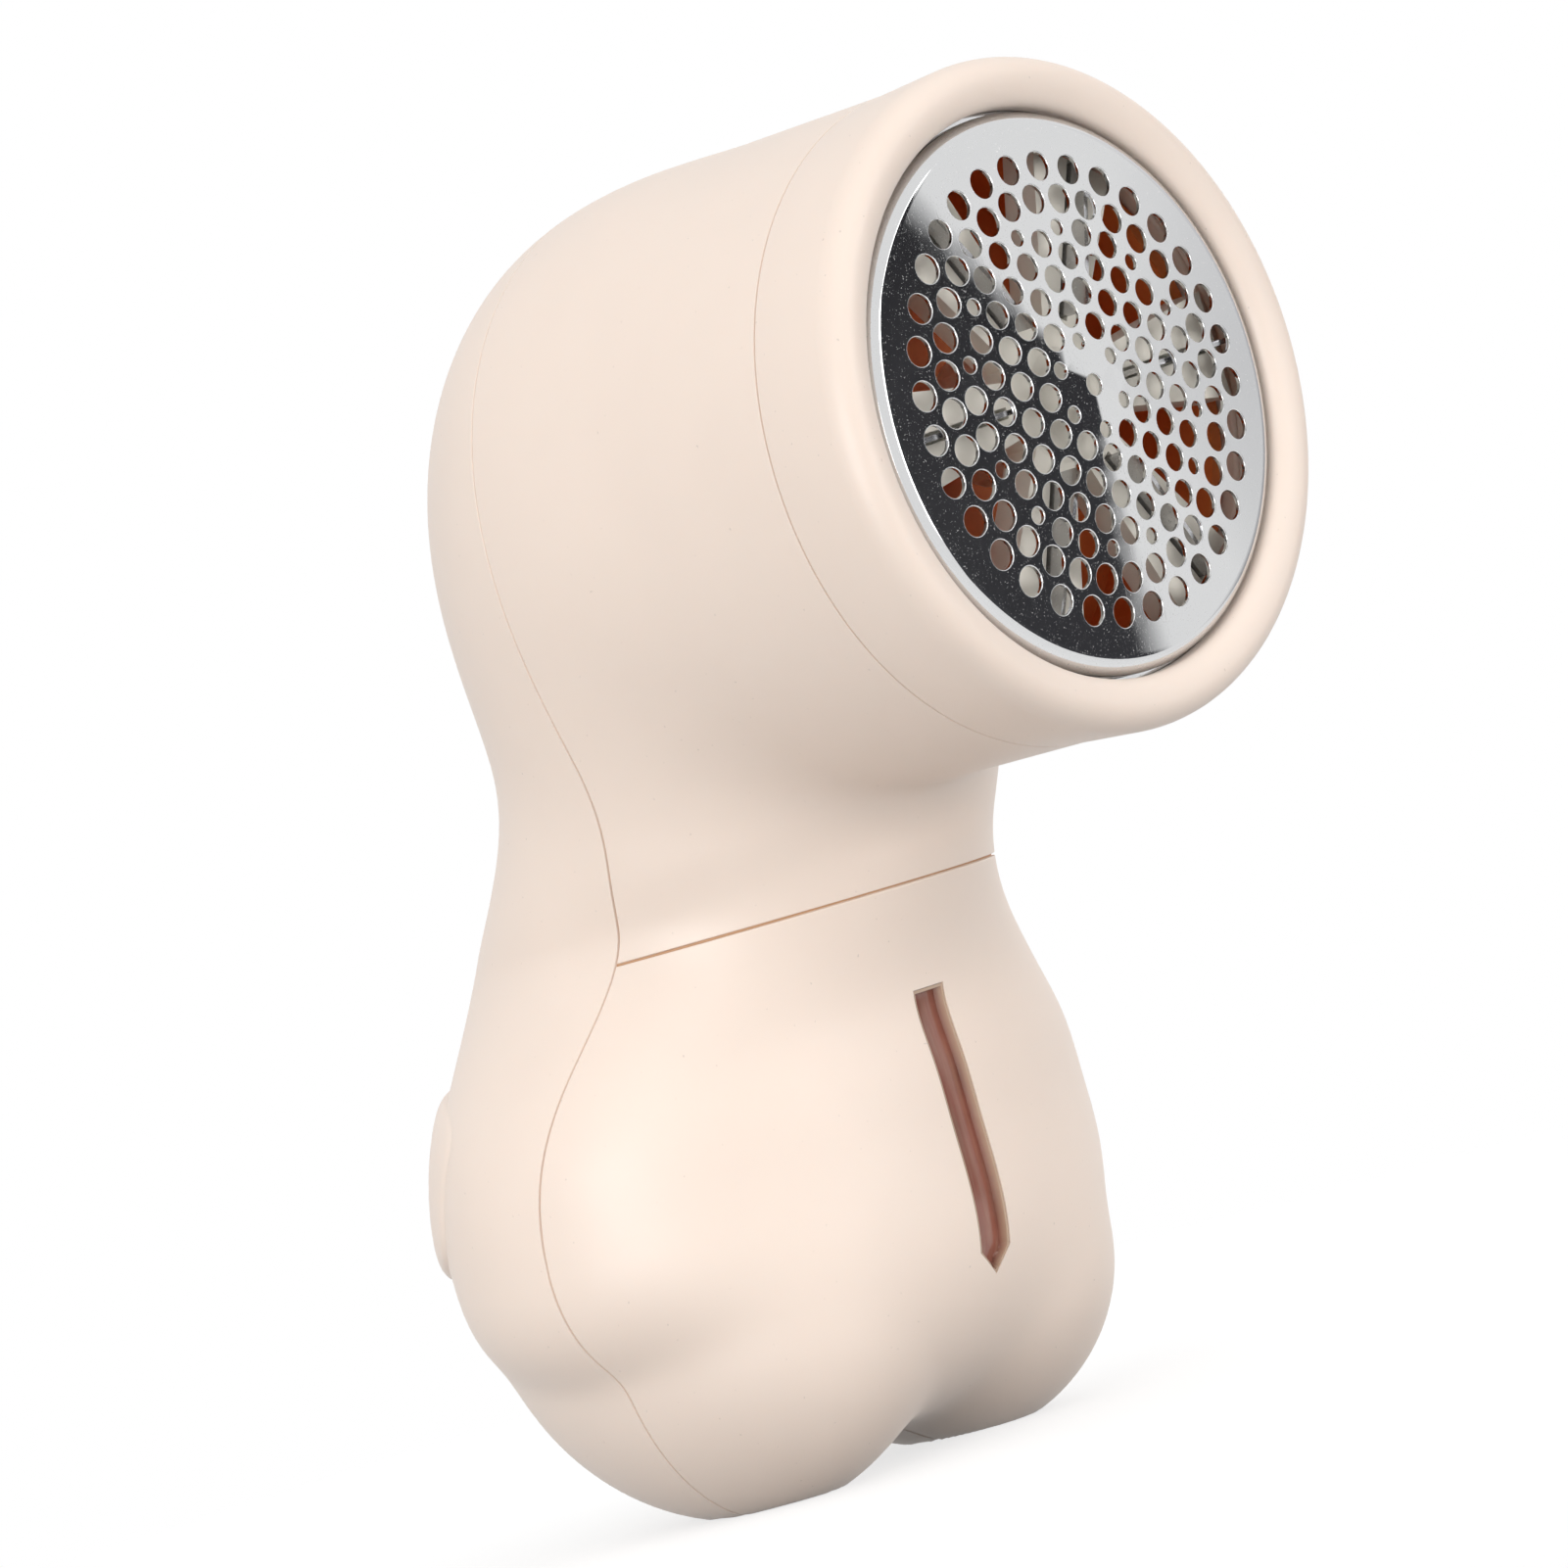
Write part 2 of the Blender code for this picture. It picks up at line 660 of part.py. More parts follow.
def make_rear_shell():
    """Rear half of the housing, with the openings and bosses that it carries."""
    shell = skin_object("rear_shell", finish=CREAM)
    cut(shell, region("rear_region", 0.0, HEAD_AXIS_Z + 2 * BARREL_RADIUS, False), "INTERSECT")
    cut(shell, HOLLOW)
    well_y = CELL_Y - BUTTON_THICKNESS
    cut(shell, front_prism("button_opening", button_outline(FIT_GAP), well_y, PAW_BACK_Y + BEYOND))
    mouth = slot_outline(SOCKET_WIDTH + 2 * FIT_GAP, SOCKET_HEIGHT + 2 * FIT_GAP, SOCKET_Z)
    cut(shell, front_prism("socket_opening", mouth, BOARD_BACK_Y, PAW_BACK_Y + BEYOND))
    frame_back = FRAME_SCREW_SEAT_Y + 2 * SEAM_GAP + FRAME_SHEET
    for number, side in enumerate((-1, 1), 1):
        x = side * FRAME_SCREW_X
        cut(shell, boss(f"frame_boss_{number}", x, FRAME_SCREW_Z, frame_back), "UNION")
        cut(shell, screw_hole(f"frame_boss_hole_{number}", x, FRAME_SCREW_Z, FRAME_SCREW_SEAT_Y))
    for number, (x, z) in enumerate(board_screw_places(), 1):
        cut(shell, boss(f"board_boss_{number}", x, z, BOARD_BACK_Y + SEAM_GAP), "UNION")
        hole = screw_hole(f"board_boss_hole_{number}", x, z, BOARD_SCREW_SEAT_Y, BOARD_SCREW_LENGTH)
        cut(shell, hole)
    return shell


def make_front_shell():
    """Front half of the head: barrel, neck and the collar that the guard ring slides over."""
    shell = skin_object("front_shell", finish=CREAM)
    low = NECK_SEAM_Z + SEAM_GAP / 2
    cut(shell, region("front_region", low, HEAD_AXIS_Z + 2 * BARREL_RADIUS, True), "INTERSECT")
    cut(shell, HOLLOW)
    inner = COLLAR_RADIUS - COLLAR_WALL
    root = BARREL_RADIUS - WALL / 2
    root_front = CAP_SEAM_AHEAD - SEAM_GAP
    profile = [
        (COLLAR_RADIUS, CAP_SEAM_AHEAD + COLLAR_LENGTH),
        (COLLAR_RADIUS, root_front),
        (root, root_front),
        (root, root_front - COLLAR_ROOT),
        (inner, root_front - COLLAR_ROOT),
        (inner, CAP_SEAM_AHEAD + COLLAR_LENGTH),
    ]
    cut(shell, turned("collar", profile), "UNION")
    return shell


def make_lint_bin():
    """Removable lint bin, the lower front of the housing, and its window."""
    lint_bin = skin_object("lint_bin", finish=CREAM)
    high = NECK_SEAM_Z - SEAM_GAP / 2
    cut(lint_bin, region("bin_region", 0.0, high, True), "INTERSECT")
    cut(lint_bin, HOLLOW)
    cut(lint_bin, front_prism("window_slot", window_outline(SEAM_GAP), -BEYOND * 3, PAW_CENTRE_Y))
    pane = skin_object("bin_window", finish=CLEAR)
    strip = front_prism("window_strip", window_outline(0.0), -BEYOND * 3, PAW_CENTRE_Y)
    cut(pane, strip, "INTERSECT")
    cut(pane, HOLLOW)
    marker = axis_empty("bin_slide", (0, PAW_FRONT_Y, NECK_SEAM_Z))
    hang_on(marker, lint_bin, pane)


def make_power_button():
    """Wide pad on the back that is pressed towards the front."""
    pad = skin_object("power_button", shift_y=BUTTON_PROUD, finish=CREAM)
    outline = button_outline(0.0)
    cut(pad, front_prism("button_prism", outline, CELL_Y, PAW_BACK_Y + BEYOND), "INTERSECT")
    cut(pad, skin_object("button_hollow", shift_y=BUTTON_PROUD - BUTTON_THICKNESS))
    marker = axis_empty("button_slide", (0, float(handle_back(BUTTON_Z)), BUTTON_Z))
    hang_on(marker, pad)


def make_guard_cap():
    """Guard ring, perforated foil and retainer, which pull off forwards together."""
    crest = GUARD_CREST_AHEAD
    lip_radius = FOIL_RADIUS + FIT_GAP
    bore = COLLAR_RADIUS + FIT_GAP
    shoulder = FOIL_FLANGE_AHEAD + SEAM_GAP
    outer = (GUARD_RADIUS - GUARD_CREST_RADIUS, GUARD_FILLET)
    inner = (GUARD_CREST_RADIUS - lip_radius, GUARD_LIP_DROP)
    profile = arc((GUARD_CREST_RADIUS, crest - GUARD_FILLET), outer, 90, 0, 5)
    profile += [
        (BARREL_RADIUS, CAP_SEAM_AHEAD + SEAM_GAP),
        (bore, CAP_SEAM_AHEAD + SEAM_GAP),
        (bore, shoulder),
        (lip_radius, shoulder),
    ]
    profile += arc((GUARD_CREST_RADIUS, crest - GUARD_LIP_DROP), inner, 180, 90, 4)[:-1]
    guard = turned("guard_ring", profile, CREAM)
    foil = make_foil()
    top = FOIL_FLANGE_AHEAD - FOIL_SHEET - SEAM_GAP
    retainer_outer = bore - SEAM_GAP
    retainer_inner = retainer_outer - RETAINER_LAP
    retainer = turned(
        "foil_retainer",
        [
            (retainer_outer, top),
            (retainer_outer, top - RETAINER_DEPTH),
            (retainer_inner, top - RETAINER_DEPTH),
            (retainer_inner, top),
        ],
        CREAM_INNER,
    )
    marker = axis_empty("cap_slide", (0, -CAP_SEAM_AHEAD, HEAD_AXIS_Z))
    hang_on(marker, guard, foil, retainer)


def foil_holes():
    """Return the holes of the foil as (x, z, diameter).

    The field is a triangular lattice. Its middle hole and the six round it are
    small, and so are the twelve at its edge. Two rings lie round the field.
    """
    holes = [(0.0, 0.0, EYE_HOLE_DIAMETER)]
    pin_shell = round(math.hypot(*lattice_point(4, 1)) / HOLE_PITCH, 3)
    reach = range(-5, 6)
    for i in reach:
        for j in reach:
            x, z = lattice_point(i, j)
            shell = round(math.hypot(x, z) / HOLE_PITCH, 3)
            turn = math.atan2(z, x) + FIELD_TURN
            if shell == 0 or shell > pin_shell:
                continue
            radius = shell * HOLE_PITCH
            diameter = HOLE_DIAMETER
            if shell == 1:
                radius = EYE_RING_RADIUS
                diameter = PIN_HOLE_DIAMETER
            elif shell == pin_shell:
                radius = PIN_RING_RADIUS
                diameter = PIN_HOLE_DIAMETER
            holes.append((radius * math.cos(turn), radius * math.sin(turn), diameter))
    for row, radius in enumerate((INNER_RING_RADIUS, OUTER_RING_RADIUS)):
        for i in range(RING_HOLES):
            turn = 2 * math.pi * (i + row / 2) / RING_HOLES + FIELD_TURN
            holes.append((radius * math.cos(turn), radius * math.sin(turn), RING_HOLE_DIAMETER))
    return holes


def lattice_point(i, j):
    """Return a point of the triangular lattice."""
    return (i + j / 2) * HOLE_PITCH, j * math.sqrt(3) / 2 * HOLE_PITCH


def foil_ahead(radius):
    """Return how far ahead the foil's outer face lies: a shallow cone."""
    face_radius = FOIL_RADIUS - FOIL_CORNER
    return FOIL_RIM_AHEAD + FOIL_RISE * max(1 - radius / face_radius, 0.0)


def make_foil():
    """Perforated cup of thin sheet: a shallow cone with a rounded edge, a skirt and a flange."""
    face_radius = FOIL_RADIUS - FOIL_CORNER
    rim = [2 * math.pi * i / FOIL_SIDES for i in range(FOIL_SIDES)]
    points = [Vector((face_radius * math.cos(a), face_radius * math.sin(a))) for a in rim]
    loops = [list(range(FOIL_SIDES))]
    for x, z, diameter in foil_holes():
        start = len(points)
        sides = HOLE_SIDES if diameter > EYE_HOLE_DIAMETER else PIN_HOLE_SIDES
        for i in range(sides):
            angle = 2 * math.pi * (i + 0.5) / sides
            spoke = Vector((math.cos(angle), math.sin(angle))) * diameter / 2
            points.append(Vector((x, z)) + spoke)
        loops.append(list(range(start, start + sides)))
    flat, _, triangles, _, _, owners = delaunay_2d_cdt(points, [], loops, 1, 1e-7)
    bm = bmesh.new()
    verts = [bm.verts.new((p.x, -foil_ahead(p.length), p.y)) for p in flat]
    for triangle, owner in zip(triangles, owners):
        if owner == [0]:
            bm.faces.new([verts[i] for i in triangle])
    edge = verts[:FOIL_SIDES]
    skirt = [
        (FOIL_RADIUS, FOIL_RIM_AHEAD - FOIL_CORNER),
        (FOIL_RADIUS, FOIL_FLANGE_AHEAD),
        (FOIL_RADIUS + FOIL_FLANGE, FOIL_FLANGE_AHEAD),
    ]
    for radius, ahead in skirt:
        ring = [bm.verts.new((radius * math.cos(a), -ahead, radius * math.sin(a))) for a in rim]
        for i in range(FOIL_SIDES):
            k = (i + 1) % FOIL_SIDES
            bm.faces.new((edge[i], edge[k], ring[k], ring[i]))
        edge = ring
    bmesh.ops.recalc_face_normals(bm, faces=bm.faces)
    if min(bm.faces, key=lambda f: f.calc_center_median().y).normal.y > 0:
        bmesh.ops.reverse_faces(bm, faces=bm.faces)
    mesh = bpy.data.meshes.new("shaving_foil")
    bm.to_mesh(mesh)
    bm.free()
    foil = add_object("shaving_foil", mesh, STEEL)
    foil.location = (0, 0, HEAD_AXIS_Z)
    sheet = foil.modifiers.new("sheet", "SOLIDIFY")
    sheet.thickness = FOIL_SHEET
    sheet.offset = -1
    return foil


def make_cutter():
    """Six-armed carrier with its blades, on the motor's shaft."""
    marker = axis_empty("rotor_axis", (0, -CARRIER_AHEAD, HEAD_AXIS_Z))
    front = CARRIER_AHEAD + CARRIER_DEPTH
    arms = []
    for i in range(BLADE_COUNT):
        middle = 2 * math.pi * i / BLADE_COUNT + CARRIER_TURN
        for radius, side in ((HUB_RADIUS, -1), (CARRIER_RADIUS, -1), (CARRIER_RADIUS, 1), (HUB_RADIUS, 1)):
            width = ARM_ROOT_WIDTH if radius == HUB_RADIUS else ARM_TIP_WIDTH
            angle = middle + side * math.asin(width / 2 / radius)
            arms.append((radius * math.cos(angle), HEAD_AXIS_Z + radius * math.sin(angle)))
    carrier = front_prism("blade_carrier", arms, -front, -CARRIER_AHEAD, CREAM_INNER)
    hub = [
        (0, HUB_AHEAD + HUB_DEPTH),
        (HUB_RADIUS * 0.7, HUB_AHEAD + HUB_DEPTH),
        (HUB_RADIUS, front),
        (HUB_RADIUS, HUB_AHEAD),
        (0, HUB_AHEAD),
    ]
    cut(carrier, turned("hub", hub, None, False, 24), "UNION")
    bore = SHAFT_RADIUS + SEAM_GAP
    bore_back = HUB_AHEAD - BEYOND
    cut(carrier, rod_along_y("hub_bore", 0, HEAD_AXIS_Z, bore, -SHAFT_END_AHEAD - SEAM_GAP, -bore_back))
    pieces = [carrier]
    back = front - BLADE_SEAT
    for i in range(BLADE_COUNT):
        angle = 2 * math.pi * i / BLADE_COUNT + CARRIER_TURN
        slot = blade_plate(f"blade_slot_{i + 1}", back - SEAM_GAP, SEAM_GAP, None)
        blade = blade_plate(f"cutter_blade_{i + 1}", back, 0.0, STEEL)
        for item in (slot, blade):
            item.location = (0, 0, HEAD_AXIS_Z)
            item.rotation_euler = (0, -angle, 0)
        cut(carrier, slot)
        pieces.append(blade)
    hang_on(marker, *pieces)
    return marker


def blade_plate(name, back, grow, finish):
    """Return one blade, or its slot when grown: a strip on edge whose front follows the foil."""
    inner = BLADE_INNER_RADIUS - grow
    outer = BLADE_OUTER_RADIUS + grow
    inset = FOIL_SHEET + BLADE_CLEARANCE - grow
    outline = [
        (inner, -back),
        (outer, -back),
        (outer, -foil_ahead(outer) + inset),
        (inner, -foil_ahead(inner) + inset),
    ]
    half = BLADE_SHEET / 2 + grow
    bm = bmesh.new()
    face = bm.faces.new([bm.verts.new((x, y, -half)) for x, y in outline])
    grown = bmesh.ops.extrude_face_region(bm, geom=[face])
    moved = [item for item in grown["geom"] if isinstance(item, bmesh.types.BMVert)]
    bmesh.ops.translate(bm, verts=moved, vec=(0, 0, 2 * half))
    return add_object(name, finish_mesh(name, bm), finish)


def make_cutting_chamber():
    """Cup behind the cutter, with the outlet that lets lint fall under the motor."""
    inner = CHAMBER_RADIUS - CHAMBER_WALL
    flange_front = CAP_SEAM_AHEAD - SEAM_GAP - COLLAR_ROOT - SEAM_GAP
    flange_radius = CHAMBER_RADIUS + CHAMBER_FLANGE_LAP
    hole = MOTOR_BOSS_RADIUS + FIT_GAP
    chamber = turned(
        "cutting_chamber",
        [
            (CHAMBER_RADIUS, CHAMBER_LIP_AHEAD),
            (CHAMBER_RADIUS, flange_front),
            (flange_radius, flange_front),
            (flange_radius, flange_front - CHAMBER_FLANGE),
            (CHAMBER_RADIUS, flange_front - CHAMBER_FLANGE),
            (CHAMBER_RADIUS, CHAMBER_BACK_AHEAD),
            (hole, CHAMBER_BACK_AHEAD),
            (hole, CHAMBER_FLOOR_AHEAD),
            (inner, CHAMBER_FLOOR_AHEAD),
            (inner, CHAMBER_LIP_AHEAD),
        ],
        RUST,
    )
    top = HEAD_AXIS_Z - SHELF_DROP - SEAM_GAP
    outlet = box(
        "outlet",
        (-OUTLET_HALF_WIDTH, -CHAMBER_FLOOR_AHEAD - BEYOND / 10, top - OUTLET_HEIGHT),
        (OUTLET_HALF_WIDTH, -CHAMBER_BACK_AHEAD + BEYOND / 10, top),
    )
    cut(chamber, outlet)
    seat_y = -CHAMBER_FLOOR_AHEAD - SEAM_GAP
    for number, side in enumerate((-1, 1), 1):
        x = side * MOTOR_SCREW_X
        cut(chamber, screw_hole(f"chamber_hole_{number}", x, HEAD_AXIS_Z, seat_y))
        screw(f"motor_screw_{number}", x, HEAD_AXIS_Z, seat_y)


def make_motor(rotor):
    """Motor can and end cap, and the armature whose shaft carries the cutter."""
    face = MOTOR_FACE_AHEAD
    back = MOTOR_BACK_AHEAD
    inner = MOTOR_RADIUS - MOTOR_SHEET
    bore = SHAFT_RADIUS + SEAM_GAP
    can = turned(
        "motor_can",
        [
            (MOTOR_BOSS_RADIUS, face + MOTOR_BOSS),
            (MOTOR_BOSS_RADIUS, face),
            (MOTOR_RADIUS - MOTOR_SHEET / 2, face),
            (MOTOR_RADIUS, face - MOTOR_SHEET / 2),
            (MOTOR_RADIUS, back),
            (inner, back),
            (inner, face - MOTOR_SHEET),
            (bore, face - MOTOR_SHEET),
            (bore, face + MOTOR_BOSS),
        ],
        DARK_STEEL,
        steps=24,
    )
    for number, side in enumerate((-1, 1), 1):
        seat_y = -CHAMBER_FLOOR_AHEAD - SEAM_GAP
        cut(can, screw_hole(f"can_hole_{number}", side * MOTOR_SCREW_X, HEAD_AXIS_Z, seat_y))
    cap_front = back - SEAM_GAP
    turned(
        "motor_end_cap",
        [
            (MOTOR_RADIUS, cap_front),
            (MOTOR_RADIUS, cap_front - MOTOR_CAP_DEPTH / 2),
            (MOTOR_RADIUS / 2, cap_front - MOTOR_CAP_DEPTH / 2),
            (MOTOR_RADIUS / 2, cap_front - MOTOR_CAP_DEPTH),
            (bore, cap_front - MOTOR_CAP_DEPTH),
            (bore, cap_front),
        ],
        BLACK,
        steps=24,
    )
    armature = turned(
        "motor_armature",
        [
            (0, SHAFT_END_AHEAD),
            (SHAFT_RADIUS, SHAFT_END_AHEAD),
            (SHAFT_RADIUS, CORE_AHEAD + CORE_LENGTH),
            (CORE_RADIUS, CORE_AHEAD + CORE_LENGTH),
            (CORE_RADIUS, CORE_AHEAD),
            (SHAFT_RADIUS, CORE_AHEAD),
            (SHAFT_RADIUS, cap_front - MOTOR_CAP_DEPTH),
            (0, cap_front - MOTOR_CAP_DEPTH),
        ],
        DARK_STEEL,
        False,
        20,
    )
    hang_on(rotor, armature)


def make_inner_frame():
    """Partition behind the lint bin, with a shelf under the motor, and its screws."""
    frame = skin_object("inner_frame", WALL + SEAM_GAP, finish=RUST)
    shelf_low = HEAD_AXIS_Z - SHELF_DROP
    shelf_high = shelf_low + FRAME_SHEET
    shelf_front = -CHAMBER_BACK_AHEAD + SEAM_GAP
    front_line = parting_line(FRAME_LOW_Z, shelf_low, FRAME_SETBACK)
    back_line = parting_line(FRAME_LOW_Z, shelf_high, FRAME_SETBACK + FRAME_SHEET)
    outline = front_line + [(shelf_front, shelf_low), (shelf_front, shelf_high)] + back_line[::-1]
    cut(frame, side_prism("frame_section", outline, 2 * PAW_HALF_WIDTH), "INTERSECT")
    for number, side in enumerate((-1, 1), 1):
        x = side * FRAME_SCREW_X
        cut(frame, screw_hole(f"frame_hole_{number}", x, FRAME_SCREW_Z, FRAME_SCREW_SEAT_Y))
        screw(f"frame_screw_{number}", x, FRAME_SCREW_Z, FRAME_SCREW_SEAT_Y)


def board_screw_places():
    """Return the front-view places of the circuit board's screws."""
    low = [(side * BOARD_SCREW_X, BOARD_SCREW_LOW_Z) for side in (-1, 1)]
    return low + [(0.0, BOARD_SCREW_TOP_Z)]


def make_electrics():
    """Battery cell, circuit board, charging socket, switch and the leads between them."""
    cell = [
        (0, CELL_LENGTH + CELL_CAP),
        (CELL_CAP_RADIUS, CELL_LENGTH + CELL_CAP),
        (CELL_CAP_RADIUS, CELL_LENGTH),
        (CELL_RADIUS, CELL_LENGTH),
        (CELL_RADIUS, 0),
        (0, 0),
    ]
    battery = turned("battery_cell", cell, CELL_BLUE, False, 24, (0, CELL_Y, CELL_Z))
    battery.rotation_euler = (0, 0, 0)
    outline = [
        (-BOARD_HALF_WIDTH, BOARD_LOW_Z),
        (BOARD_HALF_WIDTH, BOARD_LOW_Z),
        (BOARD_HALF_WIDTH, BOARD_SHOULDER_Z),
        (BOARD_NECK_HALF_WIDTH, BOARD_SHOULDER_Z),
        (BOARD_NECK_HALF_WIDTH, BOARD_TOP_Z),
        (-BOARD_NECK_HALF_WIDTH, BOARD_TOP_Z),
        (-BOARD_NECK_HALF_WIDTH, BOARD_SHOULDER_Z),
        (-BOARD_HALF_WIDTH, BOARD_SHOULDER_Z),
    ]
    board = front_prism("circuit_board", outline, BOARD_Y, BOARD_BACK_Y, BOARD_GREEN)
    for number, (x, z) in enumerate(board_screw_places(), 1):
        cut(board, screw_hole(f"board_hole_{number}", x, z, BOARD_SCREW_SEAT_Y, BOARD_SCREW_LENGTH))
        screw(f"board_screw_{number}", x, z, BOARD_SCREW_SEAT_Y, BOARD_SCREW_LENGTH)
    make_socket()
    make_switch()
    make_leads()


def make_socket():
    """Charging socket that stands on the board and opens through the back."""
    foot = BOARD_BACK_Y + SEAM_GAP
    mouth = paw_back_y(SOCKET_Z) - SEAM_GAP
    outer = slot_outline(SOCKET_WIDTH, SOCKET_HEIGHT, SOCKET_Z)
    socket = front_prism("charging_socket", outer, foot, mouth, STEEL)
    sheet = 2 * SOCKET_SHEET
    inner = slot_outline(SOCKET_WIDTH - sheet, SOCKET_HEIGHT - sheet, SOCKET_Z)
    cut(socket, front_prism("socket_hollow", inner, foot + SOCKET_BASE, mouth + BEYOND))
    tongue = box(
        "socket_tongue",
        (-SOCKET_TONGUE_WIDTH / 2, foot + SOCKET_BASE / 2, SOCKET_Z - SOCKET_TONGUE / 2),
        (SOCKET_TONGUE_WIDTH / 2, mouth - SOCKET_BASE, SOCKET_Z + SOCKET_TONGUE / 2),
    )
    cut(socket, tongue, "UNION")


def make_switch():
    """Push switch on the board, whose plunger the power button presses."""
    foot = BOARD_BACK_Y + SEAM_GAP
    top = foot + SWITCH_DEPTH
    half = SWITCH_SIDE / 2
    body = box(
        "switch_body", (-half, foot, BUTTON_Z - half), (half, top, BUTTON_Z + half), BLACK
    )
    seat = foot + 2 * SEAM_GAP + BUTTON_TRAVEL
    well = PLUNGER_RADIUS + SEAM_GAP
    cut(body, rod_along_y("plunger_well", 0, BUTTON_Z, well, foot + SEAM_GAP, top + BEYOND))
    button_inside = float(handle_back(BUTTON_Z)) + BUTTON_PROUD - BUTTON_THICKNESS
    length = button_inside - PLUNGER_GAP - seat
    profile = [(0, 0), (PLUNGER_RADIUS, 0), (PLUNGER_RADIUS, -length), (0, -length)]
    plunger = turned("switch_plunger", profile, CREAM_INNER, False, 16, (0, seat, BUTTON_Z))
    marker = axis_empty("plunger_slide", (0, seat, BUTTON_Z))
    hang_on(marker, plunger)


def lead(name, points, finish):
    """Return an insulated lead along a smooth route through a few points."""
    knots = np.linspace(0, 1, len(points))
    columns = np.array(points).T
    slopes = [(c[1] - c[0], c[-1] - c[-2]) for c in columns]
    scale = len(points) - 1
    route = [clamped_spline(knots, c, a * scale, b * scale) for c, (a, b) in zip(columns, slopes)]
    curve = bpy.data.curves.new(name, "CURVE")
    curve.dimensions = "3D"
    curve.bevel_depth = LEAD_RADIUS
    curve.bevel_resolution = 1
    curve.use_fill_caps = True
    spline = curve.splines.new("POLY")
    stations = np.linspace(0, 1, 2 * scale + 1)
    spline.points.add(len(stations) - 1)
    for point, t in zip(spline.points, stations):
        point.co = (*(float(axis(t)) for axis in route), 1.0)
    item = bpy.data.objects.new(name, curve)
    PARTS.objects.link(item)
    curve.materials.append(material(name, finish))
    return item


def make_leads():
    """Leads from the board to the motor, and the twin lead to the battery cell."""
    cap_back = MOTOR_CAP_DEPTH / 2 - MOTOR_BACK_AHEAD + 2 * SEAM_GAP + LEAD_RADIUS / 2
    board_face = BOARD_Y - SEAM_GAP
    for number, (side, finish) in enumerate(((-1, LEAD_RED), (1, BLACK)), 1):
        x = side * MOTOR_LEAD_X
        pad_x = side * MOTOR_LEAD_PAD_X
        points = [(x, cap_back, HEAD_AXIS_Z), (x, cap_back + MOTOR_LEAD_RUN, HEAD_AXIS_Z - LEAD_STRAIGHT)]
        points += [((x + pad_x) / 2, y, z) for y, z in MOTOR_LEAD_FALL]
        points.append((pad_x, board_face - LEAD_STRAIGHT, MOTOR_LEAD_PAD_Z))
        points.append((pad_x, board_face, MOTOR_LEAD_PAD_Z))
        lead(f"motor_lead_{number}", points, finish)
    cell_top = CELL_Z + CELL_LENGTH + SEAM_GAP
    points = [
        (-CELL_LEAD_X, CELL_Y, cell_top),
        (-CELL_LEAD_X, CELL_Y + LEAD_RADIUS, cell_top + CELL_LEAD_RISE),
        (-CELL_LEAD_PAD_X, CELL_Y + CELL_LEAD_RUN, cell_top + CELL_LEAD_RISE),
        (-CELL_LEAD_PAD_X, board_face - LEAD_STRAIGHT, CELL_LEAD_PAD_Z),
        (-CELL_LEAD_PAD_X, board_face, CELL_LEAD_PAD_Z),
    ]
    lead("battery_lead", points, LEAD_RED)


make_rear_shell()
make_front_shell()
make_lint_bin()
make_power_button()
make_guard_cap()
make_motor(make_cutter())
make_cutting_chamber()
make_inner_frame()
make_electrics()
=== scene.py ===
"""Looks of a hand-held fabric shaver with a paw-shaped handle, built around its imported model.

Lengths are in metres, +Z is up and the shaving foil faces -Y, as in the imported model. The
housing is one surface, skin(station, turn), and the shells, the lint bin, its window and
the pad are stretches of it. Round pieces are profiles turned about the head axis.
"""

import math

import bmesh
import bpy
import numpy as np
from mathutils import Matrix, Vector
from mathutils.geometry import delaunay_2d_cdt


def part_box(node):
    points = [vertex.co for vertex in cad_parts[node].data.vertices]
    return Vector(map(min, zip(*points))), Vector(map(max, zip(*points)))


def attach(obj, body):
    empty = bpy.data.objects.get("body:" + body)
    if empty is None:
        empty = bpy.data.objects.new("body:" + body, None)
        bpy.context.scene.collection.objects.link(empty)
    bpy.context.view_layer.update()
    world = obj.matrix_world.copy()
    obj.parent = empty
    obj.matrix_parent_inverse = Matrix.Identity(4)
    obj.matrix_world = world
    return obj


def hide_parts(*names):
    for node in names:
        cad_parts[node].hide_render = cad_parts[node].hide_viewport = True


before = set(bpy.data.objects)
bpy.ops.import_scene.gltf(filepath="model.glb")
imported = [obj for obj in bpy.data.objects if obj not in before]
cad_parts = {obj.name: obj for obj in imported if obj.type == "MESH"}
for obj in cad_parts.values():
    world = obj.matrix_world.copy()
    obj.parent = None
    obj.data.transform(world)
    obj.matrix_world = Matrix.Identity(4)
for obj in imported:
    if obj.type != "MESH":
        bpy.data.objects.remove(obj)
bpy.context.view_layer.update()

bl_info = {
    "name": "Fabric shaver looks",
    "version": (1, 0, 0),
    "blender": (4, 5, 0),
    "location": "View3D > Sidebar > Shaver",
    "description": "Builds the visible pieces, finishes and stage of a fabric shaver",
    "category": "Object",
}

MM = 0.001

# Head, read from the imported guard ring
GUARD_LOW, GUARD_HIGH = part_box("guard_ring")
HEAD_AXIS_Z = (GUARD_LOW.z + GUARD_HIGH.z) / 2
GUARD_RADIUS = GUARD_HIGH.x

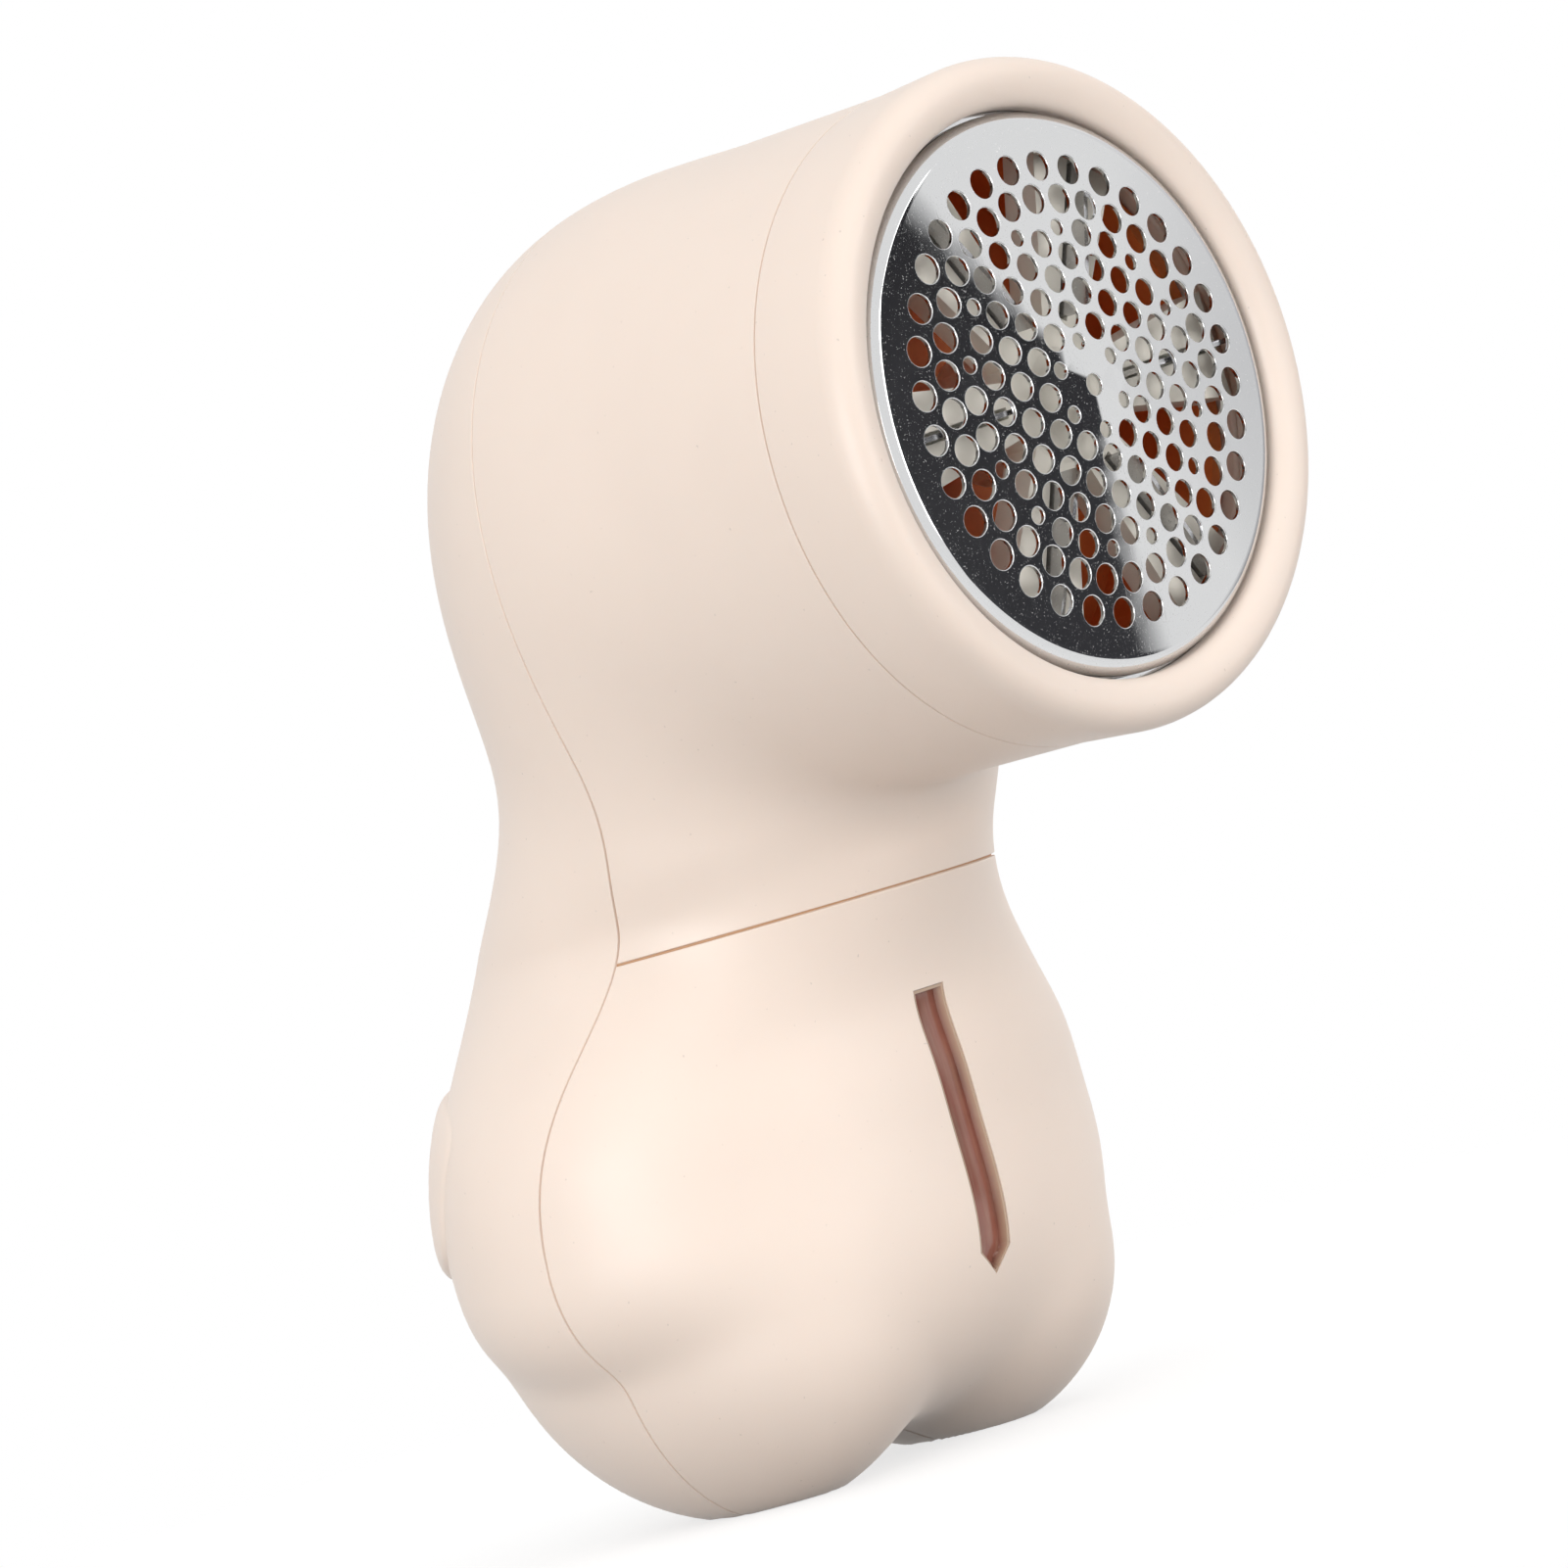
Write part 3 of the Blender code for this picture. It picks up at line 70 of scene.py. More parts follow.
# Skin of the barrel and the elbow, with reaches measured from the elbow's pivot
BARREL_RADIUS = 32.0 * MM
CAP_SEAM_AHEAD = 36.4 * MM
ELBOW_Y = -18.2 * MM
NECK_FILLET = 5.0 * MM
CROWN_REACH = 72.2 * MM
DOME_REACH = 64.1 * MM
NAPE_REACH = 51.7 * MM
NECK_REACH = 59.5 * MM
NECK_FLARE = 48.0 * MM
CROWN_HALF_WIDTH = 32.2 * MM
DOME_HALF_WIDTH = 29.5 * MM
NAPE_HALF_WIDTH = 26.4 * MM
NECK_HALF_WIDTH = 25.6 * MM
NECK_TAPER = -4.6 * MM
NECK_EASE_ABOVE = 5.0 * MM
NECK_EASE_BELOW = 14.0 * MM

# Skin of the handle and the paw
GRIP_FRONT_Y = -7.6 * MM
GRIP_BACK_Y = 45.4 * MM
GRIP_HALF_WIDTH = 33.9 * MM
PAW_Z = 30.3 * MM
PAW_FRONT_Y = -7.8 * MM
BELLY_Z = 38.0 * MM
BELLY_FRONT_Y = -7.7 * MM
PAW_BACK_Y = 47.8 * MM
PAW_HALF_WIDTH = 37.4 * MM
PAW_DEPTH = 18.3 * MM
PAW_ROUND = 0.667
TOE_CENTRE = (14.6 * MM, 20.9 * MM, 20.8 * MM)
TOE_HALF_AXES = (16.5 * MM, 23.4 * MM, 20.6 * MM)
TOE_TILT = math.radians(35.5)
TOE_BLEND = 40
FILL_BLEND = 12

# Fills between the toes, as centres and half axes of ellipsoids in millimetres
TOE_FILLS = MM * np.array((
    ((0.0, 14.0, 18.8), (26.0, 19.2, 15.4)),
    ((-13.0, 13.0, 17.5), (13.5, 15.7, 14.5)),
    ((13.0, 13.0, 17.5), (13.5, 15.7, 14.5)),
    ((0.0, 22.0, 20.0), (14.0, 18.0, 11.7)),
))

# Where the housing parts, and its wall
PARTING_LOW_Z = 26.0 * MM
PARTING_LOW_Y = 16.1 * MM
PARTING_HIGH_Z = 75.0 * MM
PARTING_HIGH_Y = 3.1 * MM
NECK_SEAM_Z = 55.0 * MM
WALL = 2.0 * MM

# Places that follow
NECK_Z = HEAD_AXIS_Z - BARREL_RADIUS - NECK_FILLET
BARREL_LENGTH = CAP_SEAM_AHEAD + ELBOW_Y
PAW_CENTRE_Y = (PAW_FRONT_Y + PAW_BACK_Y) / 2
PAW_HALF_DEPTH = (PAW_BACK_Y - PAW_FRONT_Y) / 2

# Stations of the skin
ELBOW_START = 1.0
DOME_END = 1.6
HANDLE_START = 2.0
PAW_START = 3.0
POLE = 4.0

# Rows, columns and sides of the grids
FINE_SHARES = (0.0006, 0.0016, 0.0034, 0.009)
BARREL_ROWS = 70
NECK_ROWS = 110
HEAD_COLUMNS = 230
DOME_ROWS = 60
BACK_ROWS = 80
HEEL_ROWS = 50
SOLE_ROWS = 24
REAR_COLUMNS = 140
BIN_ROWS = 70
BIN_COLUMNS = 150
LIP_ROWS = 300
LIP_COLUMNS = 5
NECK_LIP_COLUMNS = 121
WINDOW_ROWS = 120
WINDOW_COLUMNS = 16
PAD_ROWS = 24
PAD_SIDES = 144
SOCKET_SIDES = 32
TURNED_SIDES = 192

# Steps of the searches on the skin, and the reach of a weld
HALVINGS = 48
NEWTON_STEPS = 8
NORMAL_STEP = 1e-4
SLOPE_STEP = 1e-5
SOLE_SHARE = 0.999
WELD = 2e-7
SLIVER = 1e-8

# Guard ring and foil, as distances ahead of y = 0
GUARD_CREST_AHEAD = -GUARD_LOW.y
GUARD_CREST_RADIUS = 30.2 * MM
GUARD_FILLET = 3.0 * MM
GUARD_LIP_DROP = 1.9 * MM
FOIL_RADIUS = 27.1 * MM
FOIL_SETBACK = 0.9 * MM
FOIL_RIM_AHEAD = GUARD_CREST_AHEAD - FOIL_SETBACK
FOIL_RISE = 2.3 * MM
FOIL_SHEET = 0.4 * MM
FOIL_CORNER = 1.7 * MM
FOIL_FACE = FOIL_RADIUS - FOIL_CORNER
FOIL_SUPPORTS = (1.9 * MM, 1.1 * MM, 0.5 * MM)
FOIL_CREASE = 50.0
FOIL_SKIRT = 2.6 * MM
FOIL_FLANGE = 1.4 * MM
FOIL_APEX = 1.6 * MM
FOIL_FIT = 0.4 * MM
FOIL_SEAT = 0.3 * MM
RETAINER_WIDTH = 2.4 * MM
RETAINER_ROUND = 0.3 * MM

# Holes of the foil: a six-sided field inside two rings
FIELD_ROWS = 5
LATTICE_RISE = math.sqrt(3) / 2
HOLE_PITCH = 3.5 * MM
HOLE_DIAMETER = 2.66 * MM
PIN_HOLE_DIAMETER = 1.6 * MM
EYE_HOLE_DIAMETER = 2.1 * MM
EYE_RING_RADIUS = 4.3 * MM
PIN_RING_RADIUS = 15.4 * MM
FIELD_TURN = math.radians(32.0)
RING_HOLES = 32
RING_HOLE_DIAMETER = 2.86 * MM
RING_RADII = (18.28 * MM, 21.45 * MM)
HOLE_SIDES = 24
HOLE_RIM_LEANS = (30.0, 60.0, 90.0)
FOIL_SIDES = 144

# Collar that the guard ring slides over
COLLAR_RADIUS = 29.4 * MM
COLLAR_WALL = 1.6 * MM
COLLAR_LENGTH = 5.0 * MM
COLLAR_ROOT = 2.4 * MM
COLLAR_ROUND = 0.5 * MM

# Play of the collar and of the lips that close the seams from inside
LIP_FIT = 0.01 * MM

# Pad and window
PAD_Z = 37.6 * MM
PAD_HALF_WIDTH = 33.5 * MM
PAD_HALF_HEIGHT = 10.0 * MM
PAD_SQUARE = 3.6
PAD_PROUD = 1.4 * MM
PAD_THICKNESS = 3.5 * MM
PAD_RIM_SHARES = np.array((1.0, 0.75, 0.5, 0.3, 0.15, 0.06, 0.0))
WINDOW_HALF_WIDTH = 2.2 * MM
WINDOW_TOP_Z = 44.6 * MM
WINDOW_TIP_Z = 16.0 * MM
WINDOW_TIP = 2.4 * MM
WINDOW_TIP_HALF_WIDTH = 0.01 * MM
WINDOW_RIM = 0.28 * MM
WINDOW_SLOPE = 0.18 * MM
WINDOW_FIT = 0.05 * MM
WINDOW_STEPS = np.array((0.1, 0.24, 0.3, 0.34, 0.38, 0.42, 0.46, 0.55)) * MM
SOCKET_Z = 21.5 * MM
SOCKET_MOUTH = (9.8 * MM, 4.0 * MM)
CUTTER_FRONT_Y = -50.0 * MM
CUTTER_BACK_Y = 80.0 * MM

# Stage, with cards as a name, a colour, a softness and corners (azimuth, elevation)
TARGET = Vector((0.0, 3.63 * MM, 67.29 * MM))
SOFTBOX_REACH = 0.9
CARD_REACH = 0.5
CARDS = (
    ("dark_card", (0.018, 0.018, 0.020, 1.0), 0.06, ((39, 20), (54.5, -18), (10, -22), (10, 22))),
    ("grey_card", (0.30, 0.30, 0.31, 1.0), 0.5, ((57, -16), (57, 20), (80, 20), (80, -16))),
)
FLOOR_RADIUS = 0.6
FLOOR_FADE = 0.5
FLOOR_DROP = 0.02 * MM
FLOOR_RINGS = 13
FLOOR_SIDES = 97


def length_property(label, use, millimetres):
    """Return a length property whose default is given in millimetres."""
    return bpy.props.FloatProperty(
        name=label, description=use, default=millimetres * MM, min=0.0, precision=5, unit="LENGTH",
    )


def colour_property(label, use, red, green, blue):
    """Return a colour property with a default in linear values."""
    return bpy.props.FloatVectorProperty(
        name=label, description=use, default=(red, green, blue, 1.0), subtype="COLOR", size=4,
    )


def angle_property(label, use, degrees):
    """Return an angle property whose default is given in degrees."""
    return bpy.props.FloatProperty(
        name=label, description=use, default=math.radians(degrees), subtype="ANGLE",
    )


def plain_property(label, use, default):
    """Return a positive number property."""
    return bpy.props.FloatProperty(name=label, description=use, default=default, min=0.0)


class ShaverSizes(bpy.types.PropertyGroup):
    """Small sizes of the visible pieces."""

    seam_gap: length_property("Seam gap", "Gap at the parting line and the cap", 0.16)
    neck_gap: length_property("Neck gap", "Gap between the lint bin and the head", 0.26)
    pad_gap: length_property("Pad gap", "Gap round the power pad", 0.25)
    edge_round: length_property("Edge round", "Rounding of the edges along the seams", 0.09)
    pad_round: length_property("Pad round", "Rounding of the power pad's rim", 1.0)
    hole_rim: length_property("Hole rim", "Width of the rounded rim of a foil hole", 0.09)
    lip_depth: length_property("Lip depth", "How deep the lips that close the seams lie", 0.35)
    window_sink: length_property("Window sink", "How far the window lies below the skin", 0.12)
    window_depth: length_property("Window depth", "How deep the window's trough is", 1.0)


class ShaverColours(bpy.types.PropertyGroup):
    """Colours of the finishes, in linear values."""

    cream: colour_property("Cream", "Moulded housing", 0.896, 0.761, 0.665)
    # Seam tan: painted shade, darker than the cream, for the shade deep in the seam gaps.
    seam: colour_property("Seam", "Lips at the bottom of the seams", 0.560, 0.330, 0.190)
    # Inner cream: a real pale cream, lightened as painted light for the carrier seen through the
    # foil holes.
    lit_inner_cream: colour_property("Inner cream", "Carrier and retainer", 0.950, 0.905, 0.805)
    # Rust: a real rust-brown, lightened as painted light for the chamber seen through the foil
    # holes.
    rust: colour_property("Rust brown", "Cutting chamber and partition", 0.860, 0.245, 0.065)
    # Window colours are painted: the floor brown is the bin's rust-brown inside, darkened as
    # painted shade; the wall tan is cream slot walls in painted shade.
    window: colour_property("Window", "Floor of the bin window", 0.270, 0.095, 0.066)
    wall_shade_tan: colour_property("Window wall", "Walls of the bin window", 0.500, 0.350, 0.250)
    steel: colour_property("Steel", "Polished foil", 0.680, 0.685, 0.690)


class ShaverStage(bpy.types.PropertyGroup):
    """Camera and light."""

    azimuth: angle_property("Azimuth", "Turn of the camera from the front", -46.24)
    elevation: angle_property("Elevation", "Height of the camera as an angle", 0.33)
    roll: angle_property("Roll", "Turn of the picture", 15.83)
    distance: plain_property("Distance", "From the camera to its target in metres", 0.8)
    lens: plain_property("Lens", "Focal length in millimetres", 187.6)
    key_power: plain_property("Key power", "Power of the key softbox in watts", 4.4)
    fill_power: plain_property("Fill power", "Power of the fill softbox in watts", 3.2)
    ambient: plain_property("Ambient", "Strength of the light from all round", 0.89)


def clamped_spline(knots, values, first_slope, last_slope):
    """Return the cubic spline through the knots that has the given end slopes."""
    x = np.array(knots, float)
    y = np.array(values, float)
    span = np.diff(x)
    chord = np.diff(y) / span
    system = np.eye(len(x))
    right = np.zeros(len(x))
    right[0] = first_slope
    right[-1] = last_slope
    for i in range(1, len(x) - 1):
        system[i, i - 1:i + 2] = (span[i], 2 * (span[i - 1] + span[i]), span[i - 1])
        right[i] = 3 * (span[i] * chord[i - 1] + span[i - 1] * chord[i])
    slope = np.linalg.solve(system, right)

    def value(at):
        i = np.clip(np.searchsorted(x, at, side="right") - 1, 0, len(span) - 1)
        t = (at - x[i]) / span[i]
        rise = slope[i] * t * (1 - t) ** 2 - slope[i + 1] * t ** 2 * (1 - t)
        return y[i] * (1 + 2 * t) * (1 - t) ** 2 + y[i + 1] * t ** 2 * (3 - 2 * t) + span[i] * rise

    return value


# Outlines of the elbow, by angle about its pivot, and of the handle, by height
ELBOW_ANGLES = np.linspace(0.0, math.pi / 2, 5)
elbow_reach = clamped_spline(
    ELBOW_ANGLES,
    (2 * BARREL_RADIUS + NECK_FILLET, CROWN_REACH, DOME_REACH, NAPE_REACH, NECK_REACH),
    0.0,
    NECK_FLARE,
)
elbow_half_width = clamped_spline(
    ELBOW_ANGLES,
    (BARREL_RADIUS, CROWN_HALF_WIDTH, DOME_HALF_WIDTH, NAPE_HALF_WIDTH, NECK_HALF_WIDTH),
    0.0,
    NECK_TAPER,
)
HANDLE_LEVELS = (PAW_Z, (PAW_Z + NECK_Z) / 2, NECK_Z)
handle_front = clamped_spline(
    (PAW_Z, BELLY_Z, *HANDLE_LEVELS[1:]),
    (PAW_FRONT_Y, BELLY_FRONT_Y, GRIP_FRONT_Y, ELBOW_Y + NECK_FILLET),
    0.0,
    0.0,
)
handle_back = clamped_spline(
    HANDLE_LEVELS, (PAW_BACK_Y, GRIP_BACK_Y, ELBOW_Y + NECK_REACH), 0.0, -NECK_FLARE / NECK_REACH
)
handle_half_width = clamped_spline(
    HANDLE_LEVELS,
    (PAW_HALF_WIDTH, GRIP_HALF_WIDTH, NECK_HALF_WIDTH),
    0.0,
    -2 * NECK_TAPER / (NECK_REACH + NECK_FILLET),
)


def vectors(*parts):
    """Return arrays of x, y and z as one array of vectors."""
    return np.stack(np.broadcast_arrays(*parts), -1)


def cosine_sine(angle):
    """Return the points of the unit circle at angles."""
    return np.stack((np.cos(angle), np.sin(angle)), -1)


def round_turn(count, closed=False):
    """Return points round the unit circle; a closed turn ends where it starts."""
    return cosine_sine(np.linspace(0, 2 * math.pi, count, endpoint=closed))


def ellipsoid_reach(origin, ray, centre, half_axes, tilt=0.0):
    """Return where rays leave an ellipsoid, as shares of their lengths, or 0 for a miss.

    The ellipsoid's back is tilted up. Turned level and scaled to a unit ball, the share is
    the larger root of |start + share * way| = 1.
    """
    level = np.array(Matrix.Rotation(-tilt, 3, "X"))
    start = (origin - np.array(centre)) @ level.T / half_axes
    way = ray @ level.T / half_axes
    a = np.maximum((way * way).sum(-1), 1e-12)
    b = (way * start).sum(-1)
    c = (start * start).sum(-1) - 1
    root = np.sqrt(np.maximum(b * b - a * c, 0))
    return np.maximum(np.where(b * b > a * c, (root - b) / a, 0), 0)


def toe_swell(origin, ray):
    """Return how far each ray stretches where the toes and the fills stand out of the paw.

    A ray of length 1 ends on the plain skin. The skin and the two toe ellipsoids are
    joined by a power mean of their reaches along the ray, which rounds the grooves. The
    fills, ellipsoids between the toes, join them by a lower power and smooth the front.
    """
    x, y, z = TOE_CENTRE
    total = np.ones(ray.shape[:-1])
    for side in (-1, 1):
        toe = ellipsoid_reach(origin, ray, (side * x, y, z), TOE_HALF_AXES, TOE_TILT)
        total = total + toe ** TOE_BLEND
    total = total ** (FILL_BLEND / TOE_BLEND)
    for centre, half_axes in TOE_FILLS:
        total = total + ellipsoid_reach(origin, ray, centre, half_axes) ** FILL_BLEND
    return total ** (1 / FILL_BLEND)


def neck_ease(across, along, height):
    """Return the shift (x, y) that rounds the crease where the elbow meets the handle.

    The height is counted from their joint, where the two slopes differ by a lean. The
    shift is half that lean times the distance from the joint, and fades out as the square
    of the distance left to the end of the rounding.
    """
    behind = (1 + along) / 2
    radius = NECK_FILLET + (NECK_REACH - NECK_FILLET) * behind
    lean_x = -NECK_TAPER * across * (1 / radius - 2 / (NECK_REACH + NECK_FILLET))
    lean_y = -NECK_FLARE * behind * (1 / radius - 1 / NECK_REACH)
    span = np.where(height > 0, NECK_EASE_ABOVE, NECK_EASE_BELOW)
    away = np.abs(height)
    weight = -0.5 * away * np.maximum(1 - away / span, 0) ** 2
    return vectors(lean_x * weight, lean_y * weight)


def skin(station, turn):
    """Return points of the housing's outer skin at stations and turns.

    A point is origin + ray, where the ray runs round an ellipse: half width times minus
    sin(turn) across and half depth times minus cos(turn) along, so that a turn of 0 is
    the front or inner side. The sections stand upright along the barrel (stations 0 to
    1), fan out about the elbow's pivot (1 to 2), lie flat down the handle (2 to 3), and
    shrink along rays from the paw's widest level to its underside (3 to 4). The toes
    stretch the rays of the handle and the paw, and the floor cuts them flat.
    """
    station, turn = np.broadcast_arrays(np.asarray(station, float), np.asarray(turn, float))
    across = -np.sin(turn)
    along = -np.cos(turn)
    angle = np.clip(station - ELBOW_START, 0, 1) * math.pi / 2
    reach = elbow_reach(angle)
    middle = (reach + NECK_FILLET) / 2
    half = (reach - NECK_FILLET) / 2 * along
    ahead = (1 - np.clip(station, 0, 1)) * BARREL_LENGTH
    rise = np.cos(angle)
    run = np.sin(angle)
    upper_origin = vectors(0.0, ELBOW_Y - ahead + middle * run, NECK_Z + middle * rise)
    upper_ray = vectors(elbow_half_width(angle) * across, half * run, half * rise)
    level = NECK_Z + np.clip(station - HANDLE_START, 0, 1) * (PAW_Z - NECK_Z)
    front = handle_front(level)
    back = handle_back(level)
    handle_origin = vectors(0.0, (front + back) / 2, level)
    handle_ray = vectors(handle_half_width(level) * across, (back - front) / 2 * along, 0.0)
    dip = np.clip(station - PAW_START, 0, 1) * math.pi / 2
    out = np.maximum(np.cos(dip), 0) ** PAW_ROUND
    down = np.sin(dip) ** PAW_ROUND
    paw_x = PAW_HALF_WIDTH * out * across
    paw_ray = vectors(paw_x, PAW_HALF_DEPTH * out * along, -PAW_DEPTH * down)
    paw_origin = np.array((0.0, PAW_CENTRE_Y, PAW_Z))
    head = (station < HANDLE_START)[..., None]
    handle = (station < PAW_START)[..., None]
    origin = np.where(head, upper_origin, np.where(handle, handle_origin, paw_origin))
    ray = np.where(head, upper_ray, np.where(handle, handle_ray, paw_ray))
    swell = np.where(head, 1.0, toe_swell(origin, ray)[..., None])
    point = origin + ray * swell
    point[..., :2] += neck_ease(across, along, point[..., 2] - NECK_Z)
    point[..., 2] = np.maximum(point[..., 2], 0)
    return point


def skin_normal(station, turn):
    """Return the skin's outward normals: the cross product of its slopes round and along."""
    step = NORMAL_STEP
    high = np.minimum(station + step, POLE - step)
    low = np.minimum(np.maximum(station - step, 0), high - step)
    middle = (low + high) / 2
    along = skin(high, turn) - skin(low, turn)
    around = skin(middle, turn + step) - skin(middle, turn - step)
    normal = np.cross(around, along)
    return normal / np.maximum(np.linalg.norm(normal, axis=-1, keepdims=True), 1e-15)


def parting_y(z):
    """Return where the housing parts at a height: two planes joined by a smooth S."""
    t = np.clip((z - PARTING_LOW_Z) / (PARTING_HIGH_Z - PARTING_LOW_Z), 0, 1)
    return PARTING_LOW_Y + (PARTING_HIGH_Y - PARTING_LOW_Y) * t * t * (3 - 2 * t)


def behind_parting(station, turn):
    """Return how far points of the skin lie behind the parting surface."""
    point = skin(station, turn)
    return point[..., 1] - parting_y(point[..., 2])


def crossing(test, low, high):
    """Return where a rising test crosses zero, by halving the span between two bounds."""
    low = np.array(low, float)
    high = np.array(high, float)
    for _ in range(HALVINGS):
        middle = (low + high) / 2
        below = test(middle) < 0
        low = np.where(below, middle, low)
        high = np.where(below, high, middle)
    return (low + high) / 2


def neck_station(z):
    """Return the station of a level on the handle."""
    return HANDLE_START + (NECK_Z - z) / (NECK_Z - PAW_Z)


def skin_y(x, z, back):
    """Return the Y of the skin's front or back at a front-view place, by Newton steps.

    Each step solves the two slopes of x and z, by station and by turn, for what is left.
    """
    share = np.clip((PAW_Z - z) / PAW_DEPTH, 0, SOLE_SHARE)
    paw_station = PAW_START + np.arcsin(share ** (1 / PAW_ROUND)) * 2 / math.pi
    station = np.where(z > PAW_Z, neck_station(z), paw_station)
    lean = np.arcsin(np.clip(x / PAW_HALF_WIDTH, -1, 1))
    turn = math.pi + lean if back else -lean
    step = SLOPE_STEP
    for _ in range(NEWTON_STEPS):
        point = skin(station, turn)
        by_station = (skin(station + step, turn) - point) / step
        by_turn = (skin(station, turn + step) - point) / step
        left_x = x - point[..., 0]
        left_z = z - point[..., 2]
        scale = by_station[..., 0] * by_turn[..., 2] - by_station[..., 2] * by_turn[..., 0]
        station = station + (left_x * by_turn[..., 2] - left_z * by_turn[..., 0]) / scale
        turn = turn + (left_z * by_station[..., 0] - left_x * by_station[..., 2]) / scale
    return skin(station, turn)[..., 1]


def clustered(count, fine=FINE_SHARES):
    """Return shares from 0 to 1: even steps, with a few close ones at both ends."""
    ends = np.array(fine)
    middle = np.linspace(fine[-1] * 2, 1 - fine[-1] * 2, count)
    return np.concatenate(((0.0,), ends, middle, 1 - ends[::-1], (1.0,)))


def grid_quads(rows, columns):
    """Return the faces of a grid of points, as index quads that wind round, then along."""
    corner = np.arange(rows * columns).reshape(rows, columns)
    quads = (corner[:-1, :-1], corner[:-1, 1:], corner[1:, 1:], corner[1:, :-1])
    return np.stack(quads, -1).reshape(-1, 4)


def strip_quads(first, second):
    """Return the faces between two lines of point indices."""
    return np.stack((first[:-1], first[1:], second[1:], second[:-1]), -1)


def link_object(name, data):
    """Return a new object of the scene that shows some data."""
    item = bpy.data.objects.new(name, data)
    bpy.context.scene.collection.objects.link(item)
    return item


def smooth(mesh, crease=40.0):
    """Shade a mesh smooth, apart from bends sharper than a crease in degrees."""
    mesh.shade_smooth()
    mesh.set_sharp_from_angle(angle=math.radians(crease))


def add_mesh(name, points, faces):
    """Link a smooth mesh as a piece, with its poles and seams welded."""
    mesh = bpy.data.meshes.new(name)
    mesh.from_pydata(points.reshape(-1, 3).tolist(), [], faces.tolist())
    bm = bmesh.new()
    bm.from_mesh(mesh)
    bmesh.ops.remove_doubles(bm, verts=bm.verts, dist=WELD)
    bmesh.ops.dissolve_degenerate(bm, edges=bm.edges, dist=SLIVER)
    bm.to_mesh(mesh)
    bm.free()
    smooth(mesh)
    return link_object(name, mesh)


def slab(name, front, back, open_rows=slice(None)):
    """Link a closed piece between two like grids, with walls along their open edges.

    The other rows are closed rings, whose first and last points are welded.
    """
    rows, columns = front.shape[:2]
    corner = np.arange(rows * columns).reshape(rows, columns)
    other = corner + rows * columns
    quads = grid_quads(rows, columns)
    faces = [quads, quads[:, ::-1] + rows * columns]
    faces.append(strip_quads(corner[0, ::-1], other[0, ::-1]))
    faces.append(strip_quads(corner[-1], other[-1]))
    faces.append(strip_quads(corner[open_rows, 0], other[open_rows, 0]))
    faces.append(strip_quads(corner[open_rows, -1][::-1], other[open_rows, -1][::-1]))
    return add_mesh(name, np.stack((front, back)), np.concatenate(faces))


def rounded_sink(distance, radius):
    """Return how far a quarter round sinks a surface at a distance from its edge."""
    inside = np.clip(radius - distance, 0, radius)
    return radius - np.sqrt(np.maximum(radius * radius - inside * inside, 0))


def shell_piece(name, station, turn, edges, open_rows=slice(None), depth=0.0):
    """Link a stretch of the skin as a moulded wall with rounded edges.

    The outer face is the skin moved in by a depth, and sunk by a quarter round near an
    edge; the inner face is the skin moved in by the wall.
    """
    sizes = bpy.context.scene.shaver_sizes
    point = skin(station, turn)
    normal = skin_normal(station, turn)
    sink = np.full(point.shape[:-1], depth)
    for edge in edges:
        sink = np.maximum(sink, rounded_sink(np.maximum(edge(point), 0), sizes.edge_round))
    return slab(name, point - normal * sink[..., None], point - normal * WALL, open_rows)


def prism(name, outline, low_y, high_y):
    """Link a cutter whose front-view outline (x, z) runs straight back in Y."""
    x, z = np.asarray(outline).T
    rings = np.stack((vectors(x, low_y, z), vectors(x, high_y, z)))
    count = len(x)
    ring = np.append(np.arange(count), 0)
    faces = strip_quads(ring, ring + count).tolist()
    faces += [range(count - 1, -1, -1), range(count, 2 * count)]
    mesh = bpy.data.meshes.new(name)
    mesh.from_pydata(rings.reshape(-1, 3).tolist(), [], faces)
    bm = bmesh.new()
    bm.from_mesh(mesh)
    bmesh.ops.recalc_face_normals(bm, faces=bm.faces)
    bm.to_mesh(mesh)
    bm.free()
    return link_object(name, mesh)


def cut(piece, *cutters):
    """Cut solids out of a piece for good, and remove them."""
    for cutter in cutters:
        step = piece.modifiers.new("cut", "BOOLEAN")
        step.operation = "DIFFERENCE"
        step.solver = "EXACT"
        step.object = cutter
    shown = piece.evaluated_get(bpy.context.evaluated_depsgraph_get())
    mesh = bpy.data.meshes.new_from_object(shown)
    piece.modifiers.clear()
    piece.data = mesh
    smooth(mesh)
    for cutter in cutters:
        bpy.data.objects.remove(cutter, do_unlink=True)


def turned(name, profile):
    """Link a ring turned about the head axis from a closed profile of (radius, distance ahead).

    The profile runs from the front down the outer side.
    """
    radius, ahead = np.concatenate((profile, profile[:1])).T[..., None]
    x, z = (radius * part for part in round_turn(TURNED_SIDES + 1, closed=True).T)
    points = vectors(x, -ahead, HEAD_AXIS_Z - z)
    return add_mesh(name, points, grid_quads(len(radius), TURNED_SIDES + 1))


def arc(centre, radii, first, last, steps):
    """Return profile points on an elliptical arc, with angles in degrees."""
    angle = np.radians(np.linspace(first, last, steps + 1))
    return np.array(centre) + np.array(radii) * cosine_sine(angle)


def pad_outline(grow):
    """Return the pad's front-view outline: a squarish oval, grown by a distance."""
    ring = round_turn(PAD_SIDES)
    oval = np.sign(ring) * np.abs(ring) ** (2 / PAD_SQUARE)
    return oval * (PAD_HALF_WIDTH + grow, PAD_HALF_HEIGHT + grow) + (0, PAD_Z)


